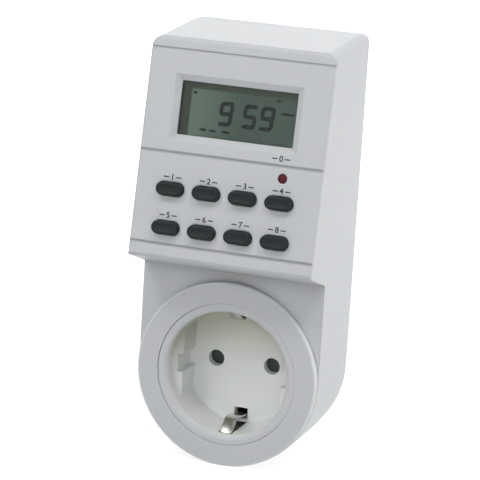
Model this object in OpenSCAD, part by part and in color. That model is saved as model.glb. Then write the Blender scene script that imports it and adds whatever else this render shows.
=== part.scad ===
// Plug-in digital timer switch: a socket below, a tilted display and key panel above,
// and a two-pin earthed plug on the back.
// x runs to the right seen from the front, y towards the wall, z up.
// The origin is on the plug's axis, in the plane of the wall.

/* [Body] */
// Width of the housing and diameter of its round lower end
body_w = 60.4; // [58:0.2:66]
// Depth from the socket's front edge to the wall
body_d = 33; // [32:0.5:38]
// Height of the rear roof edge above the plug's axis
body_top = 108.4; // [106:0.2:116]
// Fall of the roof towards the front, in degrees
roof_fall = 4.5; // [3:0.5:6]
// Radius of the two long edges of the roof
roof_r = 3.6; // [2.2:0.1:4]
// Wall thickness of the two housing shells
wall = 2; // [1.6:0.1:2.2]
// Depth of the rear cover's rim
cover_rim = 7; // [6:0.5:8]
// How far the rear cover stands in from the front housing on each side
cover_step = 0.2; // [0.1:0.05:0.5]
// Draft of the rear cover's sides over its depth
cover_draft = 0.2; // [0.1:0.05:0.4]
// Bevel round the rear cover's back edge
rear_bevel = 0.4; // [0.3:0.1:1]
// Shadow gap between the two shells
seam = 0.3; // [0.2:0.05:0.5]
// Height of the rear cover's tongue above its rim
tongue_h = 1.8; // [1.4:0.1:2.2]
// Thickness of the tongue
tongue_t = 0.9; // [0.7:0.1:1]
// Gap between the tongue and the front housing
tongue_gap = 0.15; // [0.1:0.05:0.25]

/* [Front panel] */
// Lean of the panel from the vertical, in degrees
panel_tilt = 10; // [8:0.5:12]
// How far the panel's lower edge stands in front of the socket
head_out = 13.2; // [12:0.2:15]
// Height of the panel's lower edge above the plug's axis
panel_z = 38.1; // [37:0.1:40]
// Height at which the head's underside meets the deck
under_z = 32.9; // [32:0.1:35]
// Radius of the panel's side edges
panel_edge_r = 1; // [0.6:0.1:1.6]
// Bevel along the panel's lower edge and the roof's front edge
nose_bevel = 0.9; // [0.4:0.1:1.4]
// Height of the lowest groove up the panel
groove_low = 4.5; // [4:0.1:5]
// Height of the groove between the display and the keys
groove_mid = 33.1; // [32.8:0.1:34.5]
// Height of the groove under the roof edge
groove_top = 65.2; // [64:0.1:66]
// Width of a groove
groove_w = 1.3; // [0.6:0.1:1.5]
// How far the strip above the top groove is set back
strip_back = 0.35; // [0.2:0.05:0.5]

/* [Display] */
// Width of the display opening
lcd_w = 38; // [36:0.2:38.4]
// Height of the display opening
lcd_h = 16.8; // [15:0.1:17]
// Height of the display's centre up the panel
lcd_v = 47.3; // [47:0.1:48]
// Width of the bevelled frame round the opening
lcd_bevel_w = 2; // [1.4:0.1:2.2]
// Depth of the bevelled frame
lcd_bevel_d = 1.2; // [0.8:0.1:1.4]
// Thickness of the window's flange
window_t = 1.2; // [0.8:0.1:1.4]
// Overlap of the window's flange behind the panel
window_lap = 2.2; // [1.6:0.1:2.4]
// Thickness of one of the display's two glass plates
glass_t = 1.1; // [0.7:0.1:1.2]
// Wall of the display holder
holder_wall = 1.2; // [1:0.1:1.4]
// Width of each rubber connector strip
zebra_w = 1.6; // [1.2:0.1:2]

/* [Keys] */
// Width of a key
key_w = 8.8; // [8:0.1:9]
// Height of a key
key_h = 4.3; // [4:0.1:5]
// How far a key stands out of the panel
key_out = 2.2; // [1.6:0.1:2.6]
// Distance between neighbouring keys
key_pitch = 11.9; // [11.6:0.1:12.4]
// How far the two rows of keys stand off the panel's centre line
key_x = -0.5; // [-1:0.1:1]
// Distance between the two rows of keys
row_pitch = 12.1; // [11:0.1:13]
// Height of the lower row up the panel
row_v = 9.7; // [9:0.1:10]
// Travel of every key
key_travel = 0.5; // [0.3:0.05:0.6]
// Gap between a key and its hole
key_gap = 0.15; // [0.1:0.01:0.25]
// Width of the collar that keeps a key from falling out
key_collar = 0.8; // [0.6:0.05:1]
// Thickness of the key's collar
key_collar_t = 0.8; // [0.6:0.1:1]
// Diameter of the recessed clear key
clear_d = 2.8; // [2.4:0.1:3.2]
// Height of the clear key up the panel
clear_v = 29.4; // [29:0.1:29.8]
// Side of a push switch's square case
switch_w = 6; // [5.6:0.1:6.2]
// Height of a push switch's case
switch_h = 3.4; // [3:0.1:3.6]
// Diameter of a push switch's plunger
plunger_d = 3.4; // [3:0.1:3.6]

/* [Socket] */
// Height of the round collar above the deck
collar_h = 2; // [1.5:0.1:2.5]
// How far the collar stands in from the side walls
collar_in = 0.1; // [0.05:0.05:0.5]
// Radius of the collar's outer edge
collar_r = 0.8; // [0.5:0.1:1]
// Diameter of the socket well
well_d = 40; // [39.4:0.1:40.6]
// Depth of the socket well
well_depth = 17.5; // [17.2:0.1:18]
// Width of the ring at the well's mouth
lip_w = 3; // [2.6:0.1:3.2]
// Radius of the well's mouth
mouth_r = 1.8; // [0.8:0.1:2]
// How far the insert's ring lies below the collar's face
ring_sink = 0.4; // [0.2:0.1:0.6]
// Wall of the socket insert
well_wall = 1.8; // [1.6:0.1:2]
// Thickness of the well's floor
floor_t = 3; // [2.8:0.1:3.2]
// Thickness of the flange that holds the insert behind the deck
flange_t = 1.6; // [1.2:0.1:2]
// How far the guide faces stand in from the well's wall
guide_in = 3.5; // [3:0.1:3.6]
// Depth at which the guide blocks begin
guide_start = 5.5; // [5:0.1:7]
// Width of the guide groove between the blocks
guide_groove = 6; // [5.8:0.1:6.4]
// Depth of the guide groove
guide_groove_d = 1.8; // [1.5:0.1:2]
// Distance between the two pins
pin_pitch = 19; // [18.8:0.1:19.2]
// Diameter of the pin holes in the floor
pin_hole_d = 5.4; // [5.2:0.1:5.6]

/* [Plug] */
// Diameter of a plug pin
pin_d = 4.8; // [4.7:0.1:4.9]
// Free length of a plug pin
pin_len = 19; // [18.5:0.5:19.5]
// Length of the plug's barrel
barrel_len = 17; // [16.5:0.5:17]
// Gap between a plug and the well that it enters, each side
plug_gap = 0.8; // [0.5:0.1:1.2]
// Wall of the barrel
barrel_wall = 2; // [1.8:0.1:2.2]
// Thickness of the barrel's front wall
nose_t = 3; // [2.8:0.1:3.2]
// Width of a pin's collar beyond the pin
pin_collar = 1; // [0.8:0.1:1.2]
// Thickness of a pin's collar
pin_collar_t = 2; // [1.6:0.1:2.2]
// Thickness of the plate that holds the pins
retainer_t = 2.2; // [2:0.1:2.4]

/* [Contacts] */
// Thickness of the brass and spring-metal strip
strip_t = 0.6; // [0.5:0.05:0.7]
// Width of the earth clips in the well
clip_w = 4; // [3.6:0.1:4.4]
// Width of the earth strips on the plug
plug_clip_w = 6; // [5:0.1:6.4]
// How far the clips' crests stand in from the well's wall
clip_in = 3.9; // [3.7:0.05:4]
// Outer diameter of a contact sleeve
sleeve_d = 6.2; // [6:0.1:6.4]
// Length of a contact sleeve
sleeve_len = 14; // [13:0.5:15]
// Width of a contact's solder tail
tail_w = 3; // [2.6:0.1:3.2]
// Height to which the solder tails reach
tail_top = 22; // [21:0.1:23]
// Half height of the contact block
block_h = 9.8; // [9.6:0.1:10.4]
// How far the contact block's round ends stand in from the well's wall
block_in = 1.6; // [1.4:0.1:1.8]
// Diameter of the insulated leads
lead_d = 2; // [1.6:0.1:2]
// How far the leads step aside on their way up
lead_step = 2.5; // [2:0.1:3]
// Length of bare core behind the live pin
lead_in = 1.8; // [1.6:0.1:2]

/* [Shutter] */
// Thickness of the shutter
shutter_t = 1.8; // [1.6:0.1:1.8]
// Free height of the shutter's chamber
chamber_h = 2.3; // [2.2:0.05:2.5]
// Radius of the shutter's blades
blade_r = 13; // [12.6:0.1:13.4]
// Half angle of a blade, in degrees
blade_half = 20; // [19:0.5:21]
// Angle through which the shutter opens, in degrees
shutter_turn = 40; // [38:1:42]
// How far the shutter's stops stand in from its rim
stop_in = 2; // [1.6:0.1:2.4]
// Radius of the shutter's pivot
pivot_r = 1.5; // [1.3:0.1:1.7]
// Radial running clearance on the pivot
pivot_gap = 0.05; // [0.02:0.01:0.09]

/* [Boards and screws] */
// Thickness of the circuit boards
board_t = 1.6; // [1.2:0.1:1.6]
// Gap between the control board and the side walls
board_gap = 0.7; // [0.5:0.1:1.2]
// Height of the stand-offs that carry the power board
standoff_h = 6; // [5.5:0.1:6.2]
// Outer diameter of the housing's screw columns
column_d = 5.4; // [5.2:0.1:5.6]
// Diameter of the housing screws' shanks
screw_d = 2.5; // [2.3:0.1:2.6]
// Diameter of the housing screws' heads
screw_head_d = 5; // [4.8:0.1:5.2]
// Height of a screw head
screw_head_h = 1.8; // [1.4:0.1:2]
// Length of the housing screws' shanks
screw_len = 14; // [12:0.5:15]
// How far the housing screws' heads are sunk in the rear cover
screw_sink = 1.4; // [1:0.1:1.8]
// Diameter of the small screws' shanks
small_screw_d = 1.8; // [1.6:0.1:2]
// Diameter of the small screws' heads
small_head_d = 3.6; // [3.4:0.1:3.8]

/* [Components] */
// Height up the panel of the control board's lower edge
board_low = 5; // [4:0.1:5.5]
// Side of the control chip
chip_w = 13; // [12:0.5:14]
// Thickness of the control chip
chip_t = 1.4; // [1:0.1:1.6]
// Distance between the chip's legs
chip_pitch = 1.15; // [0.8:0.05:1.2]
// Length of the crystal's can
crystal_w = 10.4; // [10:0.1:11]
// Thickness of the crystal's can
crystal_t = 4.2; // [3.8:0.1:4.6]
// Height of the crystal's can
crystal_h = 3.4; // [3:0.1:3.8]
// Diameter of the back-up cell
cell_d = 15.6; // [12:0.1:16]
// Thickness of the back-up cell
cell_t = 5.4; // [5:0.1:6]
// Height of the power board's lower edge above the axis
power_low = 37; // [36:0.5:38]
// Height of the power board
power_h = 59; // [57:0.5:60]
// Width of the relay
relay_w = 12.7; // [12:0.1:13]
// Depth of the relay
relay_d = 15.7; // [15:0.1:16]
// Height of the relay
relay_h = 29; // [28:0.1:29.5]
// Width of the film capacitor
film_w = 18; // [17:0.5:18.5]
// Depth of the film capacitor
film_d = 14; // [12:0.5:15]
// Height of the film capacitor
film_h = 8; // [7:0.5:8.5]
// Diameter of the smoothing capacitor
can_d = 8; // [6.3:0.1:8]
// Length of the smoothing capacitor
can_l = 11.5; // [11:0.1:12]
// Diameter of the varistor
varistor_d = 9; // [7:0.5:10]
// Thickness of the varistor
varistor_t = 4; // [3.5:0.1:4.5]
// Diameter of the dropper resistor
resistor_d = 3.8; // [3.2:0.1:4]
// Length of the dropper resistor
resistor_l = 9; // [8:0.1:10]
// Diameter of a diode
diode_d = 2.2; // [2:0.1:2.7]
// Length of a diode
diode_l = 4.4; // [4:0.1:5]
// Distance between the diodes
diode_pitch = 3.6; // [3.4:0.1:3.8]
// Thickness of a component's legs
leg_d = 0.7; // [0.6:0.05:0.8]
// Width of the flat cable
cable_w = 11; // [9:0.5:12]
// Thickness of the flat cable
cable_t = 0.9; // [0.8:0.1:1.2]
// Straight length of the flat cable at its ends
cable_end_l = 3.5; // [3:0.1:4.5]

/* [Hidden] */
$fn = 64;
fit = 0.1;          // clearance of a piece that is held still
eps = 0.01;         // overshoot of a cut past a face
far = 70;           // longer than any inner length of the body

half_w = body_w / 2;
front_y = -body_d;
deck_y = front_y + collar_h;
part_y = -cover_rim;
panel_y = front_y - head_out;

floor_y = front_y + well_depth;
floor_back = floor_y + floor_t;
block_y = floor_back + chamber_h;
earth_y = -wall - 2 * strip_t;      // front face of the socket's earth strap
well_r = well_d / 2;
guide_x = well_r - guide_in;
clip_crest = well_r - clip_in;
block_r = well_r - block_in;
lip_r = well_r + lip_w;
cup_r = well_r + well_wall;
flange_r = lip_r + 3;
groove_x = guide_x + guide_groove_d;

barrel_r = well_r - 2 * plug_gap;
barrel_x = guide_x - plug_gap / 2;
barrel_in = barrel_r - barrel_wall;
rib_half = guide_groove / 2 - plug_gap / 2;
rib_x = groove_x - plug_gap / 2;
nose_y = barrel_len - nose_t;       // inner face of the barrel's front wall
pin_r = pin_d / 2;
shank_r = pin_r + 0.3;              // the pin inside the barrel's wall
tail_r = pin_r - 0.8;
collar_y = nose_y - fit;
retainer_y = collar_y - pin_collar_t - fit - retainer_t;
tail_y = retainer_y - 1.3;
pad_r = 2.6;                        // pads under the pin plate's screws
retainer_screw_z = barrel_in - pad_r - 4.3;
pins = [-pin_pitch / 2, pin_pitch / 2];

slot_half = clip_w / 2 + 0.3;
slot_in = clip_crest - 0.8;
slot_out = well_r - 1.1;
clip_z = clip_crest + 1.2;          // the strap where it passes the floor
clip_end = well_r + 0.2;
sleeve_y = block_y + 0.3;           // front end of the contact sleeves
sleeve_back = sleeve_y + sleeve_len;
sleeve_gap = 0.4;                   // room round them in the plug's barrel

// Levels below the panel's outer face
window_w = -wall - window_t;
glass_w = window_w - 0.2;
glass_back = glass_w - 2 * glass_t;
key_stem = 0.6;
plunger_top = -wall - 0.3 - key_collar_t - key_stem;
switch_out = 1.6;                   // the plunger's height above its case
board_w = plunger_top - switch_out - switch_h;
board_back = board_w - board_t;
window_in_w = lcd_w - 2 * fit;
window_in_h = lcd_h - 2 * fit;
glass_w_half = lcd_w / 2 + window_lap;
glass_h_half = lcd_h / 2 + 1.7;
holder_gap = 0.2;

post_r = 2;
board_half = half_w - wall - board_gap;
post_x = board_half - post_r;
post_vs = [
    row_v + row_pitch / 2, lcd_v + glass_h_half + holder_gap + holder_wall + post_r + 0.4
];
board_v = [board_low, post_vs[1] + post_r + 0.2];
small_bore_r = small_screw_d / 2 + fit / 2;     // a small screw's hole in plastic
small_hole_r = small_screw_d / 2 + 2 * fit;     // and in the board that it holds

// The housing's four screws: x and z
top_screw = [half_w - wall - column_d / 2 + 0.3, body_top - wall - column_d / 2 - 0.3];
low_screw_r = (half_w - wall + cup_r) / 2 + 0.1;
low_screw = [low_screw_r * cos(45), -low_screw_r * sin(45)];
screws = [for (s = [-1, 1], p = [top_screw, low_screw]) [s * p.x, p.y]];
head_y = -screw_head_h - screw_sink;       // seat of a screw head in the rear cover
cup_wall = 1.2;                     // wall round a sunk screw head
screw_tip = head_y - screw_len;

power_y = -wall - standoff_h;       // rear face of the power board
power_front = power_y - board_t;
power_z = [power_low, power_low + power_h];
power_half = half_w - wall - 3;
power_post_r = 2.6;
power_posts = [for (s = [-1, 1], z = [power_z[0] + 5, power_z[1] - 5])
    [s * (power_half - 4), z]];

spring_wire = 0.4;
spring_r = pivot_r + 0.7;
spring_pocket_r = 4;
spring_pocket_d = 2.4;
rivet_r = 1.2;
rivet_head_r = 2;
rivet_head_h = 0.6;

pillar_r = 1.2;                     // pillars between the well's floor and the contact block
pillar_z = block_h - pillar_r - 0.9;
pillar_x = sqrt(pow(block_r - pillar_r, 2) - pow(pillar_z, 2));
pillars = [for (s = [-1, 1], t = [-1, 1]) [s * pillar_x, t * pillar_z]];
stop_r = 1;
stop_at = blade_r - stop_in;        // the shutter's stops, from the pivot
stop_turn = asin((stop_r + 0.3) / stop_at);

white = [0.86, 0.87, 0.88];
socket_white = [0.84, 0.85, 0.83];
brass = [0.78, 0.62, 0.32];
nickel = [0.75, 0.75, 0.73];
board_green = [0.12, 0.36, 0.2];
dark_grey = [0.2, 0.21, 0.22];

// ---- shared forms ----

// An outline drawn in x and z, made solid from y0 to y1
module along_y(y0, y1) {
    translate([0, y1, 0]) rotate([90, 0, 0]) linear_extrude(y1 - y0) children();
}

// An outline drawn in y and z, made solid for w to each side of x = 0
module across(w) {
    rotate([90, 0, 90]) linear_extrude(2 * w, center = true) children();
}

// A round bar along y
module bar(r, y0, y1) {
    along_y(y0, y1) circle(r);
}

// A block from its lowest corner to its highest
module block(low, high) {
    translate(low) cube(high - low);
}

// Places its children in the panel's own frame: y up the panel, z out of its face
module on_panel() {
    translate([0, panel_y, panel_z]) rotate([90 - panel_tilt, 0, 0]) children();
}

// The y and z of a point in the panel's frame
function panel_point(v, w) = [
    panel_y + v * sin(panel_tilt) - w * cos(panel_tilt),
    panel_z + v * cos(panel_tilt) + w * sin(panel_tilt)
];

// A long round-ended outline, w wide and h high
module slot_outline(w, h) {
    for (s = [-1, 1]) translate([s * (w - h) / 2, 0]) circle(d = h);
    square([w - h, h], center = true);
}

// A plate up to y = top with its two upper corners rounded
module arch(half, top, low, r) {
    translate([-half, low]) square([2 * half, top - r - low]);
    translate([r - half, low]) square([2 * (half - r), top - low]);
    for (s = [-1, 1]) translate([s * (half - r), top - r]) circle(r);
}

// Unit normal to the left of the way from a to b
function left_of(a, b) = let (d = b - a) [-d.y, d.x] / norm(d);
// The corner b of the way a, b, c when the way moves to its left by t
function moved_corner(a, b, c, t) =
    let (m = left_of(a, b), n = left_of(b, c)) b + t * (m + n) / (1 + m * n);
// A closed outline moved inwards by t
function inset(p, t) = let (n = len(p))
    [for (i = [0:n - 1]) moved_corner(p[(i + n - 1) % n], p[i], p[(i + 1) % n], t)];
// An open way moved to its left by t
function beside(p, t) = let (n = len(p) - 1) concat(
    [p[0] + t * left_of(p[0], p[1])],
    [for (i = [1:1:n - 1]) moved_corner(p[i - 1], p[i], p[i + 1], t)],
    [p[n] + t * left_of(p[n - 1], p[n])]
);
function backwards(p) = [for (i = [len(p) - 1:-1:0]) p[i]];
// A metal strip of thickness t along an open way
module strip_outline(p, t) {
    polygon(concat(beside(p, t / 2), backwards(beside(p, -t / 2))));
}

// A round wire through a list of points
module wire(points, d) {
    for (i = [0:len(points) - 2]) {
        way = points[i + 1] - points[i];
        translate(points[i])
            rotate([0, acos(way.z / norm(way)), atan2(way.y, way.x)])
                cylinder(d = d, h = norm(way));
    }
    for (i = [1:1:len(points) - 2]) translate(points[i]) sphere(d = d * 1.08);
}

// A screw along y whose head's seat is at y = 0 and whose point is towards -y
module screw(shank, head, length, slot_w) {
    difference() {
        bar(head / 2, 0, screw_head_h);
        block([-head, screw_head_h - 0.7, -slot_w / 2], [head, screw_head_h + eps, slot_w / 2]);
    }
    bar(shank / 2, -length, eps);
}

// ---- housing ----

// Side view of the front housing: deck, underside, panel; open above and behind
side_view = [
    [5, -far], [5, body_top + 20],
    panel_point(body_top, 0), [panel_y, panel_z],
    [deck_y, under_z], [deck_y, -far]
];
// Height up the panel at which a face w in front of it meets the roof
function roof_v(w) = (body_top + (panel_y - w * cos(panel_tilt)) * tan(roof_fall) - panel_z
    - w * sin(panel_tilt)) / (cos(panel_tilt) - sin(panel_tilt) * tan(roof_fall));
// The point at the distance d from a towards b
function towards(a, b, d) = a + d * (b - a) / norm(b - a);
roof_edge = panel_point(roof_v(-strip_back), -strip_back);
roof_cut = [
    panel_point(roof_v(-strip_back) - nose_bevel, -strip_back),
    roof_edge + nose_bevel * [cos(roof_fall), sin(roof_fall)]
];
// The same with its front edges bevelled and the strip above the top groove set back
side_view_outer = [
    side_view[0], side_view[1], roof_cut[1] + 12 * (roof_cut[1] - roof_cut[0]), roof_cut[0],
    panel_point(groove_top, -strip_back), panel_point(groove_top, 0),
    towards(side_view[3], side_view[2], nose_bevel),
    towards(side_view[3], side_view[4], nose_bevel),
    side_view[4], side_view[5]
];

// Front view of both shells: round below, square above, t inside the outer face
module front_view(t) {
    circle(half_w - t, $fn = 96);
    translate([-half_w + t, 0]) square([body_w - 2 * t, body_top + 20]);
}

// Everything below the sloping roof, t inside its outer face
module under_roof(t) {
    r = max(roof_r - t, 0.4);
    translate([0, 0, body_top]) rotate([roof_fall, 0, 0]) translate([0, 0, -body_top])
        along_y(-far, far / 2) arch(half_w - t, body_top - t, -far, r);
}

// Everything behind the panel's rounded side edges
module behind_panel() {
    on_panel() translate([0, far + body_top, 0]) rotate([90, 0, 0])
        linear_extrude(2 * far + body_top) arch(half_w, 0, -2 * far, panel_edge_r);
}

module front_form() {
    intersection() {
        along_y(-far, part_y - seam) front_view(0);
        across(half_w + 1) polygon(side_view_outer);
        under_roof(0);
        behind_panel();
    }
}

module front_hollow() {
    intersection() {
        along_y(-far, part_y + 1) front_view(wall);
        across(half_w) polygon(inset(side_view, wall));
        under_roof(wall);
    }
}

// The raised round collar with its rounded edge
module collar() {
    r = half_w - collar_in;
    rotate([90, 0, 0]) rotate_extrude($fn = 96) {
        translate([0, -deck_y - 0.5]) square([r, collar_h + 0.5 - collar_r]);
        translate([0, -deck_y]) square([r - collar_r, collar_h]);
        translate([r - collar_r, -front_y - collar_r]) circle(collar_r, $fn = 32);
    }
}

module display_cut() {
    on_panel() translate([0, lcd_v, 0]) {
        translate([0, 0, -wall]) cube([lcd_w, lcd_h, 4 * wall], center = true);
        hull() {
            translate([0, 0, eps]) cube(
                [lcd_w + 2 * lcd_bevel_w, lcd_h + 2 * lcd_bevel_w, eps], center = true);
            translate([0, 0, -lcd_bevel_d]) cube([lcd_w, lcd_h, eps], center = true);
        }
    }
}

module groove_cuts() {
    side = groove_w / sqrt(2);
    on_panel() for (v = [groove_low, groove_mid, groove_top])
        translate([0, v, 0]) rotate([45, 0, 0]) cube([body_w + 2, side, side], center = true);
}

// Calls its children at each key's place, in the panel's frame
module at_keys() {
    for (i = [0:7]) translate(key_place(i)) children();
}
function key_place(i) =
    [key_x + (i % 4 - 1.5) * key_pitch, row_v + (i < 4 ? row_pitch : 0), 0];
clear_place = [key_place(3).x, clear_v, 0];

module key_cuts() {
    on_panel() {
        at_keys() translate([0, 0, -2 * wall]) linear_extrude(4 * wall)
            slot_outline(key_w + 2 * key_gap, key_h + 2 * key_gap);
        translate(clear_place) translate([0, 0, -2 * wall])
            cylinder(d = clear_d + 2 * key_gap, h = 4 * wall);
    }
}

module screw_columns() {
    intersection() {
        front_form();
        for (p = screws) translate([p.x, 0, p.y]) bar(column_d / 2, -far, part_y - seam);
    }
}

// Posts behind the panel that carry the control board
module board_posts() {
    for (s = [-1, 1], v = post_vs) on_panel()
        translate([s * post_x, v, board_w]) cylinder(r = post_r, h = -board_w - wall / 2);
}

module front_housing() {
    color(white) difference() {
        union() {
            difference() {
                front_form();
                front_hollow();
            }
            screw_columns();
            board_posts();
            collar();
        }
        bar(lip_r + fit, front_y - 1, deck_y + wall + 0.2);
        display_cut();
        groove_cuts();
        key_cuts();
        for (p = screws) translate([p.x, 0, p.y])
            bar(screw_d / 2 + 0.05, screw_tip - 1, part_y);
        for (s = [-1, 1], v = post_vs) on_panel()
            translate([s * post_x, v, board_w - 1]) cylinder(r = small_bore_r, h = 5);
    }
}

// Outline of the plug's barrel, t inside its outer face
module barrel_outline(t, ribs) {
    intersection() {
        circle(barrel_r - t, $fn = 96);
        square([2 * (barrel_x - t), 2 * barrel_r], center = true);
    }
    if (ribs) intersection() {
        circle(barrel_r, $fn = 96);
        square([2 * rib_x, 2 * rib_half], center = true);
    }
}

// Both shells' outline drawn by its profile [half width, y]: straight above, round below
module drafted(profile) {
    linear_extrude(body_top + 20)
        polygon(concat(profile, [for (p = backwards(profile)) [-p.x, p.y]]));
    rotate([-90, 0, 0]) rotate_extrude(angle = 180, $fn = 96) polygon(profile);
}

module rear_form() {
    top = body_top - cover_step;
    intersection() {
        drafted([
            [0, part_y], [half_w - cover_step, part_y],
            [half_w - cover_step - cover_draft, -rear_bevel],
            [half_w - cover_step - cover_draft - rear_bevel, 0], [0, 0]
        ]);
        under_roof(cover_step);
        across(half_w) polygon([
            [-far, -far], [far, -far], [0, top - rear_bevel], [-far, top - rear_bevel + far]
        ]);
    }
}

module rear_hollow() {
    intersection() {
        along_y(part_y - 1, -wall) front_view(cover_step + wall);
        under_roof(cover_step + wall);
    }
}

// The tongue inside the front housing's rim
module tongue() {
    difference() {
        intersection() {
            along_y(part_y - tongue_h, part_y + 1) front_view(wall + tongue_gap);
            under_roof(wall + tongue_gap);
        }
        intersection() {
            along_y(part_y - tongue_h - 1, part_y + 2) front_view(wall + tongue_gap + tongue_t);
            under_roof(wall + tongue_gap + tongue_t);
        }
        for (p = screws) translate([p.x, 0, p.y]) bar(column_d / 2 + 0.3, -far, part_y);
    }
}

module earth_recesses() {
    half = plug_clip_w / 2 + 0.3;
    for (s = [0, 180]) rotate([0, s, 0]) {
        block([-half, 1, barrel_in + 0.9], [half, nose_y, barrel_r + 1]);
        block([-half, nose_y - 2.2, barrel_in - 2], [half, nose_y, barrel_r + 1]);
    }
}

module rear_cover() {
    color(white) difference() {
        union() {
            difference() {
                rear_form();
                rear_hollow();
            }
            tongue();
            along_y(-wall, barrel_len) barrel_outline(0, true);
            for (p = screws) translate([p.x, 0, p.y])
                bar(screw_head_d / 2 + cup_wall, part_y, -wall / 2);
            for (p = power_posts) translate([p.x, 0, p.y])
                bar(power_post_r, power_y, -wall / 2);
            for (p = pillars) translate([p.x, 0, p.y]) bar(pillar_r, earth_y, -wall / 2);
            for (z = [-1, 1]) translate([0, 0, z * retainer_screw_z])
                bar(pad_r, nose_y - pin_collar_t - 2 * fit, nose_y + eps);
        }
        along_y(-wall - 1, nose_y - pin_collar_t - 2 * fit) barrel_outline(barrel_wall, false);
        difference() {
            along_y(nose_y - pin_collar_t - 3 * fit, nose_y)
                barrel_outline(barrel_wall, false);
            for (z = [-1, 1]) translate([0, 0, z * retainer_screw_z])
                bar(pad_r, nose_y - far, nose_y + eps);
        }
        for (x = pins) translate([x, 0, 0]) bar(shank_r + 0.05, nose_y - 1, barrel_len + 1);
        for (z = [-1, 1]) translate([0, 0, z * retainer_screw_z])
            bar(small_bore_r, nose_y - far / 4, nose_y + 1.5);
        earth_recesses();
        for (x = pins) translate([x, 0, 0])
            bar(sleeve_d / 2 + sleeve_gap, -wall - 1, sleeve_back + sleeve_gap);
        for (p = screws) translate([p.x, 0, p.y]) {
            bar(screw_head_d / 2 + 0.2, head_y, 1);
            bar(screw_d / 2 + 0.2, part_y - 1, 0);
        }
        for (p = power_posts) translate([p.x, 0, p.y])
            bar(small_bore_r, power_y - 1, -wall);
    }
}

// ---- socket ----

module guide_blocks() {
    for (s = [0, 180]) rotate([0, s, 0]) difference() {
        intersection() {
            bar(well_r + well_wall / 2, front_y + guide_start, floor_y + eps);
            block([guide_x, -far, -well_r], [well_r + 1, 0, well_r]);
        }
        block([guide_x - 1, -far, -guide_groove / 2], [groove_x, floor_y, guide_groove / 2]);
    }
}

// Half section of the insert, [radius, distance in front of the wall]
module insert_section() {
    face = -front_y - ring_sink;
    mouth = face - mouth_r;
    back = -deck_y - wall - flange_t;
    translate([0, -floor_back]) square([cup_r, floor_t]);
    translate([well_r, -floor_back]) square([well_wall, mouth + floor_back]);
    translate([well_r + mouth_r, back]) square([lip_w - mouth_r, face - back]);
    translate([well_r, back]) square([flange_r - well_r, flange_t]);
    translate([well_r + eps, back]) square([mouth_r, mouth - back]);
    intersection() {
        translate([well_r + mouth_r, mouth]) circle(mouth_r, $fn = 32);
        translate([well_r, mouth - eps]) square([mouth_r + eps, mouth_r + 2 * eps]);
    }
}

module socket_insert() {
    color(socket_white) difference() {
        union() {
            rotate([90, 0, 0]) rotate_extrude() insert_section();
            guide_blocks();
            bar(pivot_r, floor_back - eps, block_y + 1.8);
            for (p = pillars) translate([p.x, 0, p.y]) bar(pillar_r, floor_back - eps, block_y);
            for (a = [-blade_half - stop_turn, blade_half + shutter_turn + stop_turn])
                translate([stop_at * cos(a), 0, stop_at * sin(a)])
                    bar(stop_r, floor_back - eps, block_y - 0.2);
        }
        for (x = pins) translate([x, 0, 0]) bar(pin_hole_d / 2, floor_y - 1, floor_back + 1);
        for (s = [0, 180]) rotate([0, s, 0]) {
            block([-slot_half, floor_y - 1, slot_in], [slot_half, floor_back + 1, slot_out]);
            block([-slot_half, deck_y + 1, slot_in],
                [slot_half, floor_y, well_r + well_wall / 2]);
        }
        for (p = screws) translate([p.x, 0, p.y])
            bar(column_d / 2 + 0.3, deck_y + wall - eps, 0);
    }
}

module contact_block() {
    color(dark_grey * 2) difference() {
        intersection() {
            bar(block_r, block_y, earth_y);
            block([-block_r, -far, -block_h], [block_r, 0, block_h]);
        }
        for (x = pins) translate([x, 0, 0])
            bar(sleeve_d / 2 + 0.2, block_y - 1, earth_y + 1);
        bar(spring_pocket_r, block_y - 1, block_y + spring_pocket_d);
        bar(rivet_head_r + 0.3, earth_y - rivet_head_h - 0.2, earth_y + 1);
    }
}

module shutter() {
    color([0.32, 0.38, 0.33]) difference() {
        union() {
            bar(pivot_r + 2, shutter_y, shutter_y + shutter_t);
            for (s = [0, 180]) rotate([0, s, 0]) intersection() {
                bar(blade_r, shutter_y, shutter_y + shutter_t);
                along_y(-far, 0) polygon([
                    [0, 0],
                    2 * blade_r * [cos(blade_half), sin(blade_half)],
                    2 * blade_r * [cos(blade_half), -sin(blade_half)]
                ]);
            }
        }
        bar(pivot_r + pivot_gap, -far, 0);
    }
}
shutter_y = floor_back + (chamber_h - shutter_t) / 2;

// Close turns of wire round the pivot, one end against the shutter, one in the block
module shutter_spring() {
    turns = 3;
    y = block_y + 0.5;
    half = spring_wire * 0.4;
    color(nickel) {
        translate([0, y, 0]) rotate([-90, 0, 0]) rotate_extrude() polygon(concat(
            [[spring_r - spring_wire / 2, 0]],
            [for (i = [0:2 * turns])
                [spring_r + spring_wire * (i % 2 == 0 ? 0.25 : 0.5), i * spring_wire / 2]],
            [[spring_r - spring_wire / 2, turns * spring_wire]]
        ));
        block([-half, block_y - 0.1, spring_r - half], [half, y + eps, spring_r]);
        block([0, y + turns * spring_wire - 2 * half, -spring_r],
            [spring_pocket_r - 0.9, y + turns * spring_wire - eps, half - spring_r]);
    }
}

// A slotted sleeve round a plug's pin, its seat behind the block and its solder tail
module contact(x) {
    translate([x, 0, 0]) difference() {
        union() {
            bar(sleeve_d / 2, sleeve_y, sleeve_back);
            bar(sleeve_d / 2 + 0.9, earth_y, earth_y + strip_t);
            block([-tail_w / 2, earth_y, 0], [tail_w / 2, earth_y + strip_t, tail_top]);
        }
        bar(pin_r - 0.05, -far, far);
        block([-0.5, block_y, -sleeve_d], [0.5, earth_y - 0.5, 0]);
        block([-0.5, earth_y + strip_t + 0.5, -sleeve_d], [0.5, far, 0]);
    }
}

module live_contact() {
    color(brass) contact(pins[0]);
}

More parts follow.
